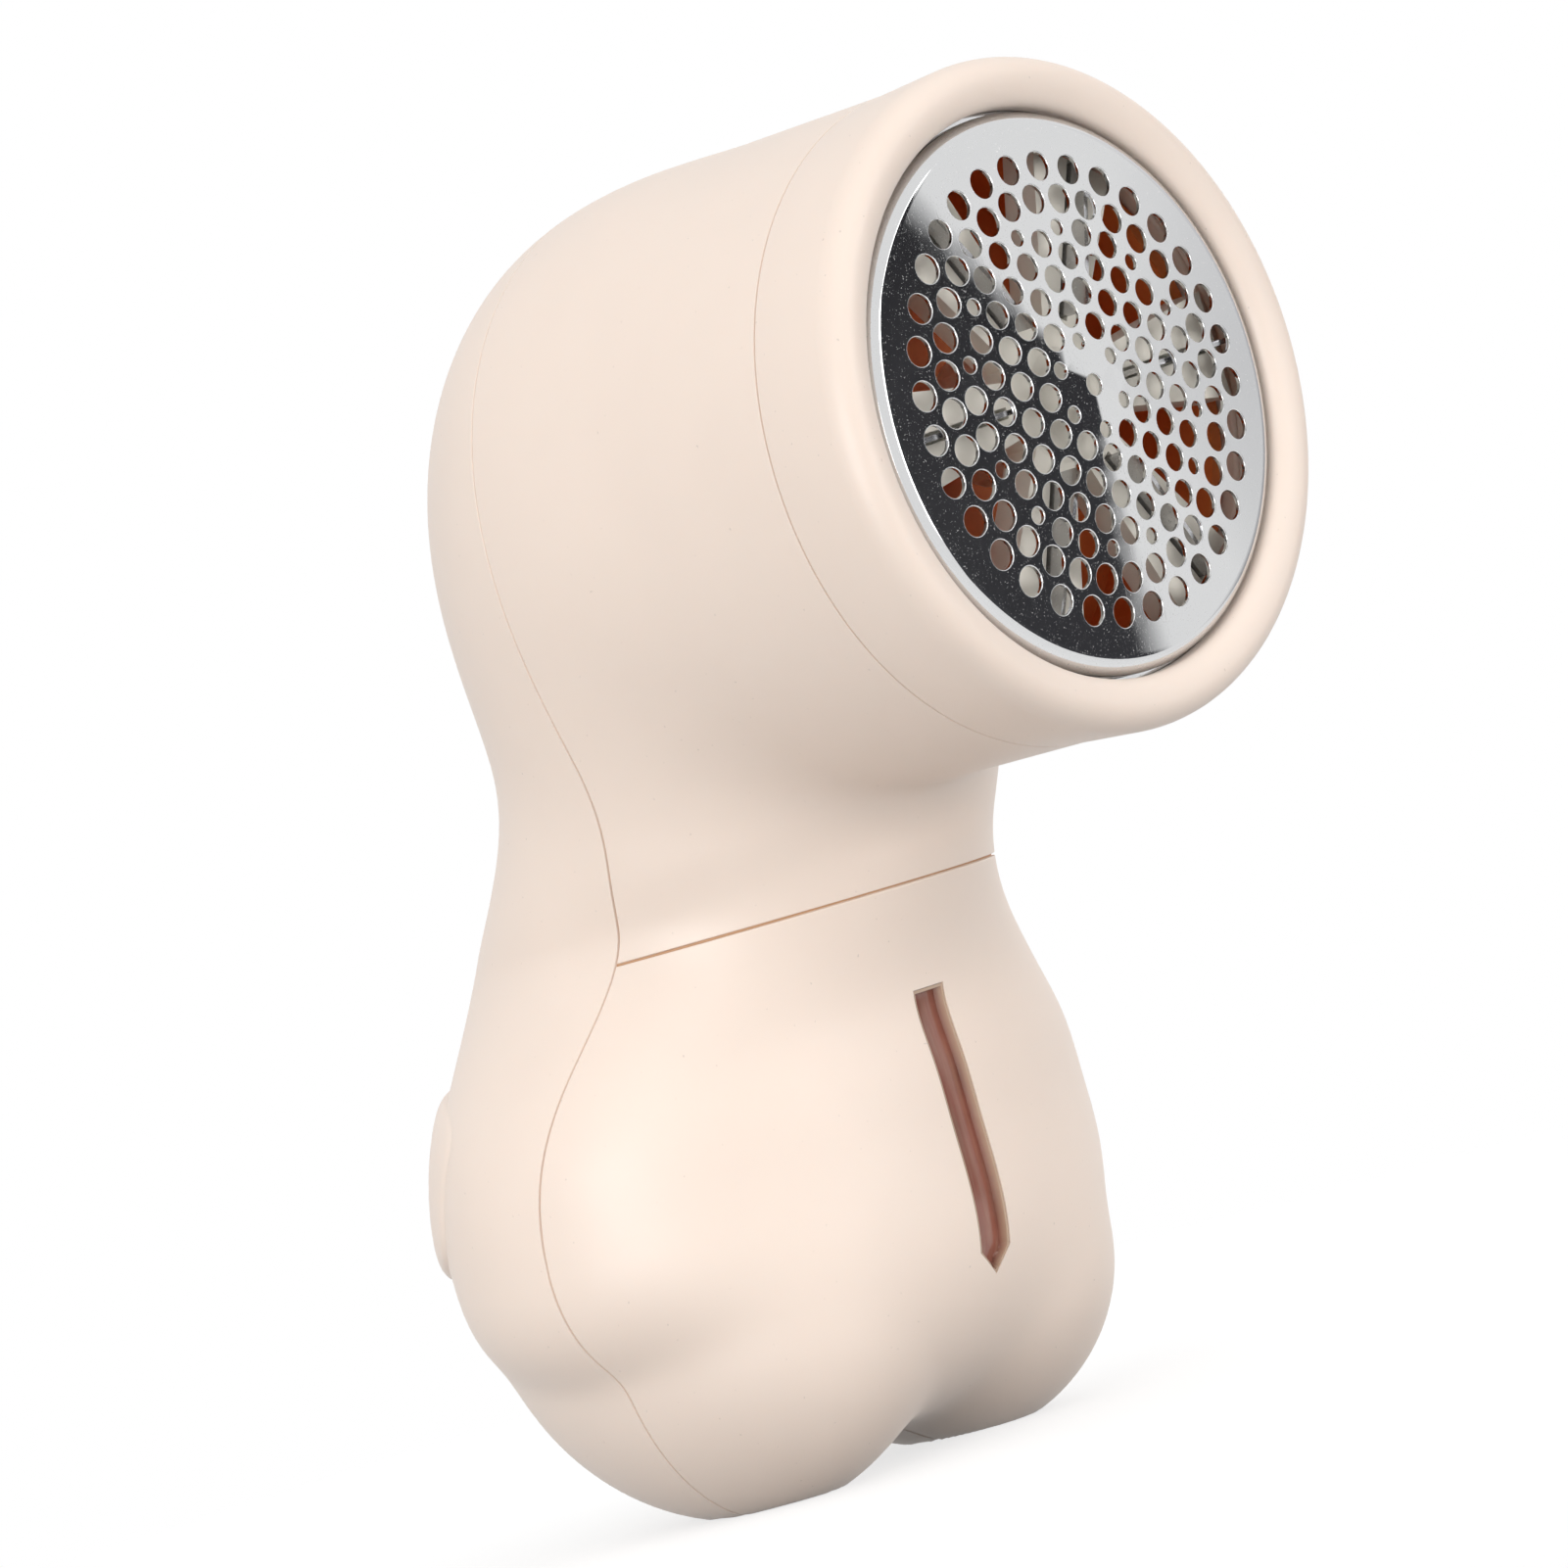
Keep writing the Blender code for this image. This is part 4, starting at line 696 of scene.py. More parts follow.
def slot_outline(width, height, z):
    """Return a slot with round ends, centred on x = 0."""
    radius = height / 2
    angle = 2 * math.pi * (np.arange(SOCKET_SIDES) + 0.5) / SOCKET_SIDES - math.pi / 2
    shift = np.copysign(width / 2 - radius, np.cos(angle))
    return vectors(shift, z) + radius * cosine_sine(angle)


def window_half_width(z):
    """Return the window's half width at a height: even, then narrowing to its arrow tip."""
    return WINDOW_HALF_WIDTH * np.clip((z - WINDOW_TIP_Z) / WINDOW_TIP, 0, 1)


def window_outline(grow):
    """Return the window's front-view outline, grown by a distance."""
    half = WINDOW_HALF_WIDTH + grow
    shoulder = WINDOW_TIP_Z + WINDOW_TIP
    top = WINDOW_TOP_Z + grow
    tip = (0, WINDOW_TIP_Z - grow)
    return [(-half, top), (half, top), (half, shoulder), tip, (-half, shoulder)]


class Wire:
    """An output socket of a material's nodes; arithmetic on it adds Math nodes."""

    def __init__(self, tree, socket=None):
        self.tree = tree
        self.socket = socket

    def node(self, kind, settings=None, sockets=None, output=0):
        """Add a node: its settings are set first, then its sockets get values or links."""
        made = self.tree.nodes.new(kind)
        for key, value in (settings or {}).items():
            if key == "stops":
                self.set_stops(made.color_ramp, value)
            else:
                setattr(made, key, value)
        for key, value in (sockets or {}).items():
            if isinstance(value, Wire):
                self.tree.links.new(value.socket, made.inputs[key])
            else:
                made.inputs[key].default_value = value
        return Wire(self.tree, made.outputs[output]) if made.outputs else made

    @staticmethod
    def set_stops(ramp, stops):
        """Give a colour ramp its stops, as (position, grey value)."""
        while len(ramp.elements) < len(stops):
            ramp.elements.new(1.0)
        for element, (position, value) in zip(ramp.elements, stops):
            element.position = position
            element.color = (value, value, value, 1.0)

    def maths(self, operation, *values):
        """Add a Math node for an operation on values and wires."""
        return self.node("ShaderNodeMath", {"operation": operation}, dict(enumerate(values)))

    def __add__(self, other):
        return self.maths("ADD", self, other)

    __radd__ = __add__

    def __rsub__(self, other):
        return self.maths("SUBTRACT", other, self)

    def __mul__(self, other):
        return self.maths("MULTIPLY", self, other)

    def __truediv__(self, other):
        return self.maths("DIVIDE", self, other)

    def ramp(self, *stops):
        """Return the wire's value through a ramp of grey stops."""
        return self.node("ShaderNodeValToRGB", {"stops": stops}, {"Fac": self})

    def noise(self, place, scale, detail=2.0, rough=0.5):
        """Return noise over a place, with scale in lumps per metre."""
        sockets = {"Vector": place, "Scale": scale, "Detail": detail, "Roughness": rough}
        return self.node("ShaderNodeTexNoise", None, sockets)

    def mix(self, share, first, second):
        """Return a colour between two, by share."""
        return self.node("ShaderNodeMix", {"data_type": "RGBA"}, {0: share, 6: first, 7: second}, 2)

    def bump(self, height, distance, strength=1.0):
        """Return a normal bent by a height field that is distance metres deep."""
        sockets = {"Strength": strength, "Distance": distance, "Height": height}
        return self.node("ShaderNodeBump", None, sockets)


def new_material(name):
    """Return a material, its first wire, its shader's sockets and its Object coordinates."""
    material = bpy.data.materials.new(name)
    material.use_nodes = True
    wire = Wire(material.node_tree)
    shader = material.node_tree.nodes["Principled BSDF"]
    place = wire.node("ShaderNodeTexCoord", output="Object")
    return material, wire, shader.inputs, place


def feed(wire, socket, value):
    """Link a wire to a shader's socket."""
    wire.tree.links.new(value.socket, socket)


def shade(colour, factor):
    """Return a colour made darker or lighter by a factor."""
    return (*(min(part * factor, 1.0) for part in colour[:3]), 1.0)


def moulded_plastic(name, colour, roughness=0.42, depth=0.0):
    """Return a satin moulded plastic: faint clouds of tone, fine grain and rare specks."""
    material, wire, sockets, place = new_material(name)
    clouds = wire.noise(place, 45.0, 3.0)
    grain = wire.noise(place, 5200.0, 2.0, 0.6)
    specks = wire.noise(place, 2600.0, 0.0).ramp((0.86, 0.0), (0.88, 1.0))
    tone = wire.mix(clouds.ramp((0.3, 0.0), (0.7, 1.0)), shade(colour, 0.975), shade(colour, 1.012))
    feed(wire, sockets["Base Color"], wire.mix(specks * 0.35, tone, shade(colour, 0.55)))
    feed(wire, sockets["Roughness"], roughness - 0.05 + clouds * 0.06 + grain * 0.04)
    feed(wire, sockets["Normal"], wire.bump(grain + clouds * 0.4, 0.004 * MM, 0.6))
    sockets["IOR"].default_value = 1.49
    if depth:
        sockets["Subsurface Weight"].default_value = 0.12
        sockets["Subsurface Radius"].default_value = (1.0, 0.75, 0.6)
        sockets["Subsurface Scale"].default_value = depth
    return material


def polished_steel(name, colour, roughness=0.12):
    """Return polished sheet steel: hair-fine scratches, faint haze and settled dust."""
    material, wire, sockets, place = new_material(name)
    stretch = wire.node("ShaderNodeMapping", None, {"Vector": place, "Scale": (1.0, 1.0, 0.04)})
    scratches = wire.noise(stretch, 4200.0, 2.0, 0.7).ramp((0.62, 0.0), (0.75, 1.0))
    haze = wire.noise(place, 160.0, 3.0)
    dust = wire.noise(place, 6500.0, 1.0).ramp((0.66, 0.0), (0.73, 1.0))
    worn = wire.mix(haze * 0.2, colour, shade(colour, 0.9))
    feed(wire, sockets["Base Color"], wire.mix(dust * 0.4, worn, (0.9, 0.88, 0.86, 1.0)))
    feed(wire, sockets["Metallic"], 1 - dust * 0.3)
    feed(wire, sockets["Roughness"], roughness + haze * 0.05 + scratches * 0.08 + dust * 0.2)
    feed(wire, sockets["Normal"], wire.bump(haze * 0.5 + scratches * 0.5, 0.002 * MM, 0.4))
    return material


def paint(piece, material):
    """Give a piece one material."""
    piece.data.materials.clear()
    piece.data.materials.append(material)


def add_to_body(piece, material, body):
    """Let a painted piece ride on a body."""
    paint(piece, material)
    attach(piece, body)


def replace_nodes(piece, material, body, slot, *nodes):
    """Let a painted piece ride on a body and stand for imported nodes."""
    add_to_body(piece, material, body)
    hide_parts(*nodes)


def parting_edge(sign):
    """Return a test for the distance from the parting line: behind it (1) or ahead (-1)."""
    gap = bpy.context.scene.shaver_sizes.seam_gap
    return lambda point: sign * (point[..., 1] - parting_y(point[..., 2])) - gap / 2


def top_station(shift):
    """Return the station at which the parting surface, moved back, leaves the dome."""
    return crossing(lambda s: behind_parting(s, math.pi) - shift, ELBOW_START, HANDLE_START)


def toe_station(shift):
    """Return the station at which the parting surface, moved back, ends under the paw."""
    return crossing(lambda s: behind_parting(s, 0.0) - shift, PAW_START, POLE)


def parting_turn(station, shift):
    """Return the turn at which sections of the skin meet the parting surface, moved back."""
    front = np.zeros_like(station)
    return crossing(lambda turn: behind_parting(station, turn) - shift, front, front + math.pi)


def front_grid(station, end, columns):
    """Return grids of stations and turns that run across the front, from end to end."""
    turn = end * (2 * clustered(columns) - 1)
    return np.broadcast_to(station, turn.shape), turn


class SHAVER_OT_front_shell(bpy.types.Operator):
    """Build the front half of the head and the collar that carries the guard ring."""

    bl_idname = "shaver.front_shell"
    bl_label = "Front shell"

    def execute(self, context):
        sizes = context.scene.shaver_sizes
        low = NECK_SEAM_Z + sizes.neck_gap / 2
        shift = -sizes.seam_gap / 2
        first = top_station(shift)
        barrel = first * clustered(BARREL_ROWS)
        neck = first + (neck_station(low) - first) * clustered(NECK_ROWS) ** 2
        station = np.concatenate((barrel, neck[1:]))[:, None]
        end = parting_turn(station, shift)
        end[:len(barrel)] = math.pi
        edges = [
            parting_edge(-1),
            lambda point: point[..., 1] + CAP_SEAM_AHEAD,
            lambda point: np.where(point[..., 1] < ELBOW_Y, 1.0, point[..., 2] - low),
        ]
        grid = front_grid(station, end, HEAD_COLUMNS)
        shell = shell_piece("head_front", *grid, edges, slice(len(barrel) - 1, None))
        replace_nodes(shell, cream_plastic(context), "body", "cream_shell", "front_shell")
        collar = self.make_collar(sizes)
        add_to_body(collar, cream_plastic(context), "body")
        return {"FINISHED"}

    def make_collar(self, sizes):
        """Return the turned sleeve, with a lip in the cap's seam and a root in the barrel."""
        front = CAP_SEAM_AHEAD + COLLAR_LENGTH - COLLAR_ROUND
        inner = COLLAR_RADIUS - COLLAR_WALL
        bore = BARREL_RADIUS - WALL - LIP_FIT
        lip = BARREL_RADIUS - sizes.lip_depth
        lip_front = CAP_SEAM_AHEAD + sizes.seam_gap - LIP_FIT
        lip_back = CAP_SEAM_AHEAD + LIP_FIT
        ease = (COLLAR_ROUND, COLLAR_ROUND)
        return turned("cap_collar", np.concatenate((
            arc((COLLAR_RADIUS - COLLAR_ROUND, front), ease, 90, 0, 5),
            [(COLLAR_RADIUS, lip_front), (lip, lip_front), (lip, lip_back), (bore, lip_back)],
            [(bore, lip_back - COLLAR_ROOT), (inner, lip_back - COLLAR_ROOT)],
            arc((inner + COLLAR_ROUND, front), ease, 180, 90, 5),
        )))


class SHAVER_OT_rear_shell(bpy.types.Operator):
    """Build the rear half of the housing with its pad opening and socket mouth."""

    bl_idname = "shaver.rear_shell"
    bl_label = "Rear shell"

    def execute(self, context):
        sizes = context.scene.shaver_sizes
        shift = sizes.seam_gap / 2
        first = top_station(shift)
        last = toe_station(shift)
        rows = (
            first + (DOME_END - first) * np.linspace(0, 1, DOME_ROWS) ** 2,
            np.linspace(DOME_END, PAW_START, BACK_ROWS)[1:],
            last - (last - PAW_START) * np.linspace(1, 0, HEEL_ROWS)[1:] ** 2,
            last + (POLE - last) * np.linspace(0, 1, SOLE_ROWS)[1:] ** 1.5,
        )
        station = np.concatenate(rows)[:, None]
        toe_row = len(station) - len(rows[-1])
        start = parting_turn(station, shift)
        start[0] = math.pi
        start[toe_row - 1:] = 0.0
        turn = start + (2 * math.pi - 2 * start) * clustered(REAR_COLUMNS)
        station = np.broadcast_to(station, turn.shape)
        shell = shell_piece("housing_rear", station, turn, [parting_edge(1)], slice(toe_row))
        reach = (PAW_CENTRE_Y + PAW_HALF_DEPTH / 2, CUTTER_BACK_Y)
        pad = prism("pad_opening", pad_outline(sizes.pad_gap), *reach)
        mouth = prism("socket_mouth", slot_outline(*SOCKET_MOUTH, SOCKET_Z), *reach)
        cut(shell, pad, mouth)
        replace_nodes(shell, cream_plastic(context), "body", "cream_shell", "rear_shell")
        return {"FINISHED"}


class SHAVER_OT_seam_lips(bpy.types.Operator):
    """Build the lips that close the parting line and the neck seam from inside."""

    bl_idname = "shaver.seam_lips"
    bl_label = "Seam lips"

    def execute(self, context):
        sizes = context.scene.shaver_sizes
        shift = sizes.seam_gap / 2 - LIP_FIT
        share = np.linspace(0, 1, LIP_COLUMNS)
        first = top_station(-shift)
        last = toe_station(shift)
        ease = (1 - np.cos(np.linspace(0, math.pi, LIP_ROWS))) / 2
        station = (first + (last - first) * ease)[:, None]
        near = parting_turn(station, -shift)
        far = parting_turn(station, shift)
        side = near + (far - near) * share
        grids = {
            "seam_lip_left": (station, side),
            "seam_lip_right": (station, -side[:, ::-1]),
        }
        half = sizes.neck_gap / 2 - LIP_FIT
        high = neck_station(NECK_SEAM_Z + half)
        low = neck_station(NECK_SEAM_Z - half)
        station = high + (low - high) * share[:, None]
        end = parting_turn(station, -sizes.seam_gap / 2)
        grids["neck_lip"] = (station, end * np.linspace(-1, 1, NECK_LIP_COLUMNS))
        for name, (station, turn) in grids.items():
            station = np.broadcast_to(station, turn.shape)
            lip = shell_piece(name, station, turn, [], depth=sizes.lip_depth)
            # The lips carry the seam tan, painted shade of the seam gaps.
            add_to_body(lip, seam_shade_plastic(context), "body")
        return {"FINISHED"}


class SHAVER_OT_lint_bin(bpy.types.Operator):
    """Build the lint bin, the lower front of the housing, with the slot of its window."""

    bl_idname = "shaver.lint_bin"
    bl_label = "Lint bin"

    def execute(self, context):
        sizes = context.scene.shaver_sizes
        shift = -sizes.seam_gap / 2
        high = NECK_SEAM_Z - sizes.neck_gap / 2
        first = neck_station(high)
        last = toe_station(shift)
        upper = first + (PAW_START - first) * clustered(BIN_ROWS)
        lower = last - (last - PAW_START) * np.linspace(1, 0, BIN_ROWS)[1:] ** 2
        station = np.concatenate((upper, lower))[:, None]
        end = parting_turn(station, shift)
        end[-1] = 0.0
        edges = [parting_edge(-1), lambda point: high - point[..., 2]]
        lint_bin = shell_piece("bin_front", *front_grid(station, end, BIN_COLUMNS), edges)
        reach = (CUTTER_FRONT_Y, PAW_CENTRE_Y - PAW_HALF_DEPTH / 2)
        cut(lint_bin, prism("window_slot", window_outline(WINDOW_FIT), *reach))
        replace_nodes(lint_bin, cream_plastic(context), "bin", "cream_shell", "lint_bin")
        return {"FINISHED"}


class SHAVER_OT_bin_window(bpy.types.Operator):
    """Build the clear strip in the lint bin, a shallow trough with a thin rim."""

    bl_idname = "shaver.bin_window"
    bl_label = "Bin window"

    def execute(self, context):
        sizes = context.scene.shaver_sizes
        height = WINDOW_TOP_Z - WINDOW_TIP_Z
        width = 2 * WINDOW_HALF_WIDTH
        z = WINDOW_TOP_Z - height * clustered(WINDOW_ROWS, WINDOW_STEPS / height)[:, None]
        share = 2 * clustered(WINDOW_COLUMNS, WINDOW_STEPS / width) - 1
        x = share * np.maximum(window_half_width(z), WINDOW_TIP_HALF_WIDTH)
        z = np.broadcast_to(z, x.shape)
        surface = skin_y(x, z, False)
        front = surface + sizes.window_sink + sizes.window_depth * self.floor_share(x, z)
        grids = [vectors(x, y, z)[:, ::-1] for y in (front, surface + WALL)]
        pane = slab("bin_window_strip", *grids)
        place = np.empty(len(pane.data.vertices) * 3)
        pane.data.vertices.foreach_get("co", place)
        x, _, z = place.reshape(-1, 3).T
        mask = pane.data.attributes.new("floor", "FLOAT", "POINT")
        mask.data.foreach_set("value", self.floor_share(x, z))
        replace_nodes(pane, clear_window(context), "bin", "clear_window", "bin_window")
        return {"FINISHED"}

    @staticmethod
    def floor_share(x, z):
        """Return 0 on the rim and 1 on the floor, by the distance from the window's outline."""
        inside = np.minimum(window_half_width(z) - np.abs(x), WINDOW_TOP_Z - z)
        t = np.clip((inside - WINDOW_RIM) / WINDOW_SLOPE, 0, 1)
        return t * t * (3 - 2 * t)


class SHAVER_OT_power_pad(bpy.types.Operator):
    """Build the wide power pad on the back of the handle."""

    bl_idname = "shaver.power_pad"
    bl_label = "Power pad"

    def execute(self, context):
        sizes = context.scene.shaver_sizes
        outline = pad_outline(0.0) - (0, PAD_Z)
        outline = np.concatenate((outline, outline[:1]))
        radius = sizes.pad_round
        inner = 1 - PAD_RIM_SHARES * radius / PAD_HALF_HEIGHT
        share = np.concatenate((np.linspace(0, inner[0], PAD_ROWS), inner[1:]))[:, None]
        x = share * outline[:, 0]
        z = PAD_Z + share * outline[:, 1]
        surface = skin_y(x, z, True)
        sink = rounded_sink((1 - share) * PAD_HALF_HEIGHT, radius)
        front = vectors(x, surface + PAD_PROUD - sink, z)
        back = vectors(x, surface + PAD_PROUD - PAD_THICKNESS, z)
        pad = slab("power_pad", front[:, ::-1], back[:, ::-1], slice(0))
        replace_nodes(pad, cream_plastic(context), "button", "cream_shell", "power_button")
        return {"FINISHED"}


class SHAVER_OT_guard_ring(bpy.types.Operator):
    """Build the guard ring and the retainer behind the foil."""

    bl_idname = "shaver.guard_ring"
    bl_label = "Guard ring"

    def execute(self, context):
        sizes = context.scene.shaver_sizes
        crest = GUARD_CREST_AHEAD
        lip = FOIL_RADIUS + FOIL_FIT
        bore = COLLAR_RADIUS + FOIL_FIT
        shoulder = FOIL_RIM_AHEAD - FOIL_SKIRT + FOIL_SEAT
        seam = CAP_SEAM_AHEAD + sizes.seam_gap
        edge = sizes.edge_round
        outer = (GUARD_RADIUS - GUARD_CREST_RADIUS, GUARD_FILLET)
        inner = (GUARD_CREST_RADIUS - lip, GUARD_LIP_DROP)
        profile = np.concatenate((
            arc((GUARD_CREST_RADIUS, crest - GUARD_FILLET), outer, 90, 0, 20),
            arc((BARREL_RADIUS - edge, seam + edge), (edge, edge), 0, -90, 4),
            [(bore, seam), (bore, shoulder), (lip, shoulder)],
            arc((GUARD_CREST_RADIUS, crest - GUARD_LIP_DROP), inner, 180, 90, 16)[:-1],
        ))
        guard = turned("guard_rim", profile)
        replace_nodes(guard, cream_plastic(context), "foil_cap", "cream_shell", "guard_ring")
        low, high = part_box("foil_retainer")
        ease = RETAINER_ROUND
        outer = high.x - ease
        inner = high.x - RETAINER_WIDTH + ease
        front = -low.y - ease
        back = -high.y + ease
        corners = ((outer, front), (outer, back), (inner, back), (inner, front))
        retainer = turned("foil_clip_ring", np.concatenate([
            arc(corner, (ease, ease), 90 - 90 * i, -90 * i, 4) for i, corner in enumerate(corners)
        ]))
        material = lit_inner_cream_plastic(context)
        replace_nodes(retainer, material, "foil_cap", "cream_inner", "foil_retainer")
        return {"FINISHED"}


def foil_holes():
    """Return the holes of the foil as an array of (x, z, diameter).

    The field is a triangular lattice: its middle hole, the six round it and the twelve at
    its edge are small. Two rings of larger holes lie round the field.
    """
    steps = np.arange(-FIELD_ROWS, FIELD_ROWS + 1)
    i, j = np.meshgrid(steps, steps)
    x = (i + j / 2).ravel() * HOLE_PITCH
    z = (j * LATTICE_RISE).ravel() * HOLE_PITCH
    ring = np.round(np.hypot(x, z) / HOLE_PITCH, 3)
    pin_ring = round(math.hypot(FIELD_ROWS - 0.5, LATTICE_RISE), 3)
    kept = ring <= pin_ring
    turn = np.arctan2(z, x)[kept] + FIELD_TURN
    ring = ring[kept]
    choices = [ring == 0, ring == 1, ring == pin_ring]
    radius = np.select(choices, [0, EYE_RING_RADIUS, PIN_RING_RADIUS], ring * HOLE_PITCH)
    small = [EYE_HOLE_DIAMETER, PIN_HOLE_DIAMETER, PIN_HOLE_DIAMETER]
    groups = [(turn, radius, np.select(choices, small, HOLE_DIAMETER))]
    for row, radius in enumerate(RING_RADII):
        turn = 2 * math.pi * (np.arange(RING_HOLES) + row / 2) / RING_HOLES + FIELD_TURN
        groups.append((turn, radius, RING_HOLE_DIAMETER))
    return np.concatenate([
        vectors(radius * np.cos(turn), radius * np.sin(turn), diameter)
        for turn, radius, diameter in groups
    ])


def foil_ahead(radius):
    """Return how far ahead the foil's face lies: a shallow cone with a softened tip."""
    slant = np.sqrt(radius ** 2 + FOIL_APEX ** 2)
    return FOIL_RIM_AHEAD + FOIL_RISE * (1 - slant / math.hypot(FOIL_FACE, FOIL_APEX))


def foil_points(flat, drop):
    """Return foil points for front-view places (x, z), moved back from the face by a drop."""
    radius = np.linalg.norm(flat, axis=-1)
    return vectors(flat[..., 0], drop - foil_ahead(radius), HEAD_AXIS_Z + flat[..., 1])


class SHAVER_OT_shaving_foil(bpy.types.Operator):
    """Build the perforated foil with the rounded rims of its holes."""

    bl_idname = "shaver.shaving_foil"
    bl_label = "Shaving foil"

    def execute(self, context):
        rim = context.scene.shaver_sizes.hole_rim
        holes = foil_holes()
        spoke = round_turn(HOLE_SIDES)
        circle = round_turn(FOIL_SIDES)

        def loops(grow):
            return holes[:, None, :2] + spoke * (holes[:, 2, None, None] / 2 + grow)

        outside = np.concatenate([circle * (FOIL_FACE - inset) for inset in (0.0, *FOIL_SUPPORTS)])
        wide, narrow = (
            np.concatenate((outside, loops(grow).reshape(-1, 2))) for grow in (rim, 0.0)
        )
        loop = len(outside) + np.arange(len(holes) * HOLE_SIDES).reshape(-1, HOLE_SIDES)
        outlines = [list(range(FOIL_SIDES))] + loop.tolist()
        found = delaunay_2d_cdt([Vector(p) for p in wide.tolist()], [], outlines, 1, SLIVER)
        if len(found[0]) != len(wide):
            raise RuntimeError("the foil's holes cross each other")
        kept = np.array([owner == [0] for owner in found[5]])
        foil = self.link(wide, narrow, loops, loop, np.array(found[2])[kept], circle, rim)
        replace_nodes(foil, foil_steel(context), "foil_cap", "foil_steel", "shaving_foil")
        return {"FINISHED"}

    def link(self, wide, narrow, loops, loop, triangles, circle, rim):
        """Join the face, the rims and walls of its holes, the inner face and the skirt."""
        points = [foil_points(wide, 0.0)]
        faces = [triangles[:, ::-1]]
        count = len(wide)
        lean = np.radians(HOLE_RIM_LEANS)
        steps = [*zip(rim * (1 - np.sin(lean)), rim * (1 - np.cos(lean))), (0.0, FOIL_SHEET)]
        for grow, drop in steps:
            ring = count + np.arange(loop.size).reshape(loop.shape)
            points.append(foil_points(loops(grow), drop).reshape(-1, 3))
            faces.append(self.bands(ring, loop))
            loop = ring
            count += loop.size
        inner = count + np.arange(FOIL_SIDES)
        points.append(foil_points(narrow, FOIL_SHEET))
        faces.append(triangles + count)
        count += len(narrow)
        edge = np.arange(FOIL_SIDES)
        for radius, ahead in self.skirt():
            ring = count + np.arange(FOIL_SIDES)
            x, z = radius * circle.T
            points.append(vectors(x, -ahead, HEAD_AXIS_Z + z))
            faces.append(self.bands(edge[None], ring[None]))
            edge = ring
            count += FOIL_SIDES
        faces.append(self.bands(edge[None], inner[None]))
        mesh = bpy.data.meshes.new("foil_sheet")
        lists = [face for group in faces for face in group.tolist()]
        mesh.from_pydata(np.concatenate(points).tolist(), [], lists)
        smooth(mesh, FOIL_CREASE)
        return link_object("foil_sheet", mesh)

    @staticmethod
    def skirt():
        """Return the profile of the rounded rim, the skirt, the flange and the inner wall."""
        corner = FOIL_RIM_AHEAD - FOIL_CORNER
        flange = FOIL_RIM_AHEAD - FOIL_SKIRT
        inner = FOIL_RADIUS - FOIL_SHEET
        outer = FOIL_RADIUS + FOIL_FLANGE
        return np.concatenate((
            arc((FOIL_FACE, corner), (FOIL_CORNER, FOIL_CORNER), 80, 0, 8),
            [(FOIL_RADIUS, flange), (outer, flange)],
            [(outer, flange - FOIL_SHEET), (inner, flange - FOIL_SHEET), (inner, corner)],
        ))

    @staticmethod
    def bands(first, second):
        """Return quads between two sets of closed loops of point indices."""
        first_next = np.roll(first, -1, axis=1)
        second_next = np.roll(second, -1, axis=1)
        return np.stack((first, second, second_next, first_next), -1).reshape(-1, 4)


def finish(material, *names):
    """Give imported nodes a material."""
    for name in names:
        paint(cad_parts[name], material)


def cream_plastic(context):
    """Return the housing's cream plastic."""
    return moulded_plastic("cream_plastic", context.scene.shaver_colours.cream, 0.42, 0.6 * MM)


def seam_shade_plastic(context):
    """Return the lips' tan, darker than the cream: painted shade at the bottom of the seams."""
    return moulded_plastic("seam_shade_plastic", context.scene.shaver_colours.seam, 0.6)


def lit_inner_cream_plastic(context):
    """Return the paler cream of the carrier and the retainer, lightened as painted light so the
    carrier shows bright through the foil holes.
    """
    return moulded_plastic("lit_inner_cream_plastic", context.scene.shaver_colours.lit_inner_cream, 0.5)


def rust_plastic(context, name="rust_plastic", depth_of_tone=1.0):
    """Return the rust-brown plastic of the chamber, lightened as painted light for its look through
    the foil holes, or a deeper tone of it.
    """
    return moulded_plastic(name, shade(context.scene.shaver_colours.rust, depth_of_tone), 0.45)


def foil_steel(context):
    """Return the foil's polished steel."""
    return polished_steel("foil_steel", context.scene.shaver_colours.steel, 0.02)


def clear_window(context):
    """Return the window's plastic: its floor paints the bin's rust-brown inside with its shade as
    seen through clear plastic, its walls paint the cream slot walls in shade as tan.
    """
    colours = context.scene.shaver_colours
    material, wire, sockets, place = new_material("clear_window")
    floor = wire.node("ShaderNodeAttribute", {"attribute_name": "floor"}, None, "Fac")
    streaks = wire.node("ShaderNodeMapping", None, {"Vector": place, "Scale": (1.0, 1.0, 0.08)})
    clouds = wire.noise(place, 170.0, 3.0).ramp((0.3, 0.0), (0.7, 1.0))
    lint = wire.noise(streaks, 1500.0, 2.0).ramp((0.4, 0.0), (0.75, 1.0))
    brown = wire.mix(clouds, shade(colours.window, 0.8), shade(colours.window, 1.25))
    brown = wire.mix(lint * 0.25, brown, shade(colours.wall_shade_tan, 0.9))
    # Painted view through clear plastic: brown inside with its shade on the floor, tan painted
    # shade on the rim and walls.
    feed(wire, sockets["Base Color"], wire.mix(floor, colours.wall_shade_tan, brown))
    feed(wire, sockets["Roughness"], 0.12 + clouds * 0.08 + lint * 0.06)
    feed(wire, sockets["Normal"], wire.bump(clouds + lint * 0.3, 0.006 * MM, 0.5))
    sockets["IOR"].default_value = 1.49
    sockets["Coat Weight"].default_value = 0.4
    sockets["Coat Roughness"].default_value = 0.05
    return material


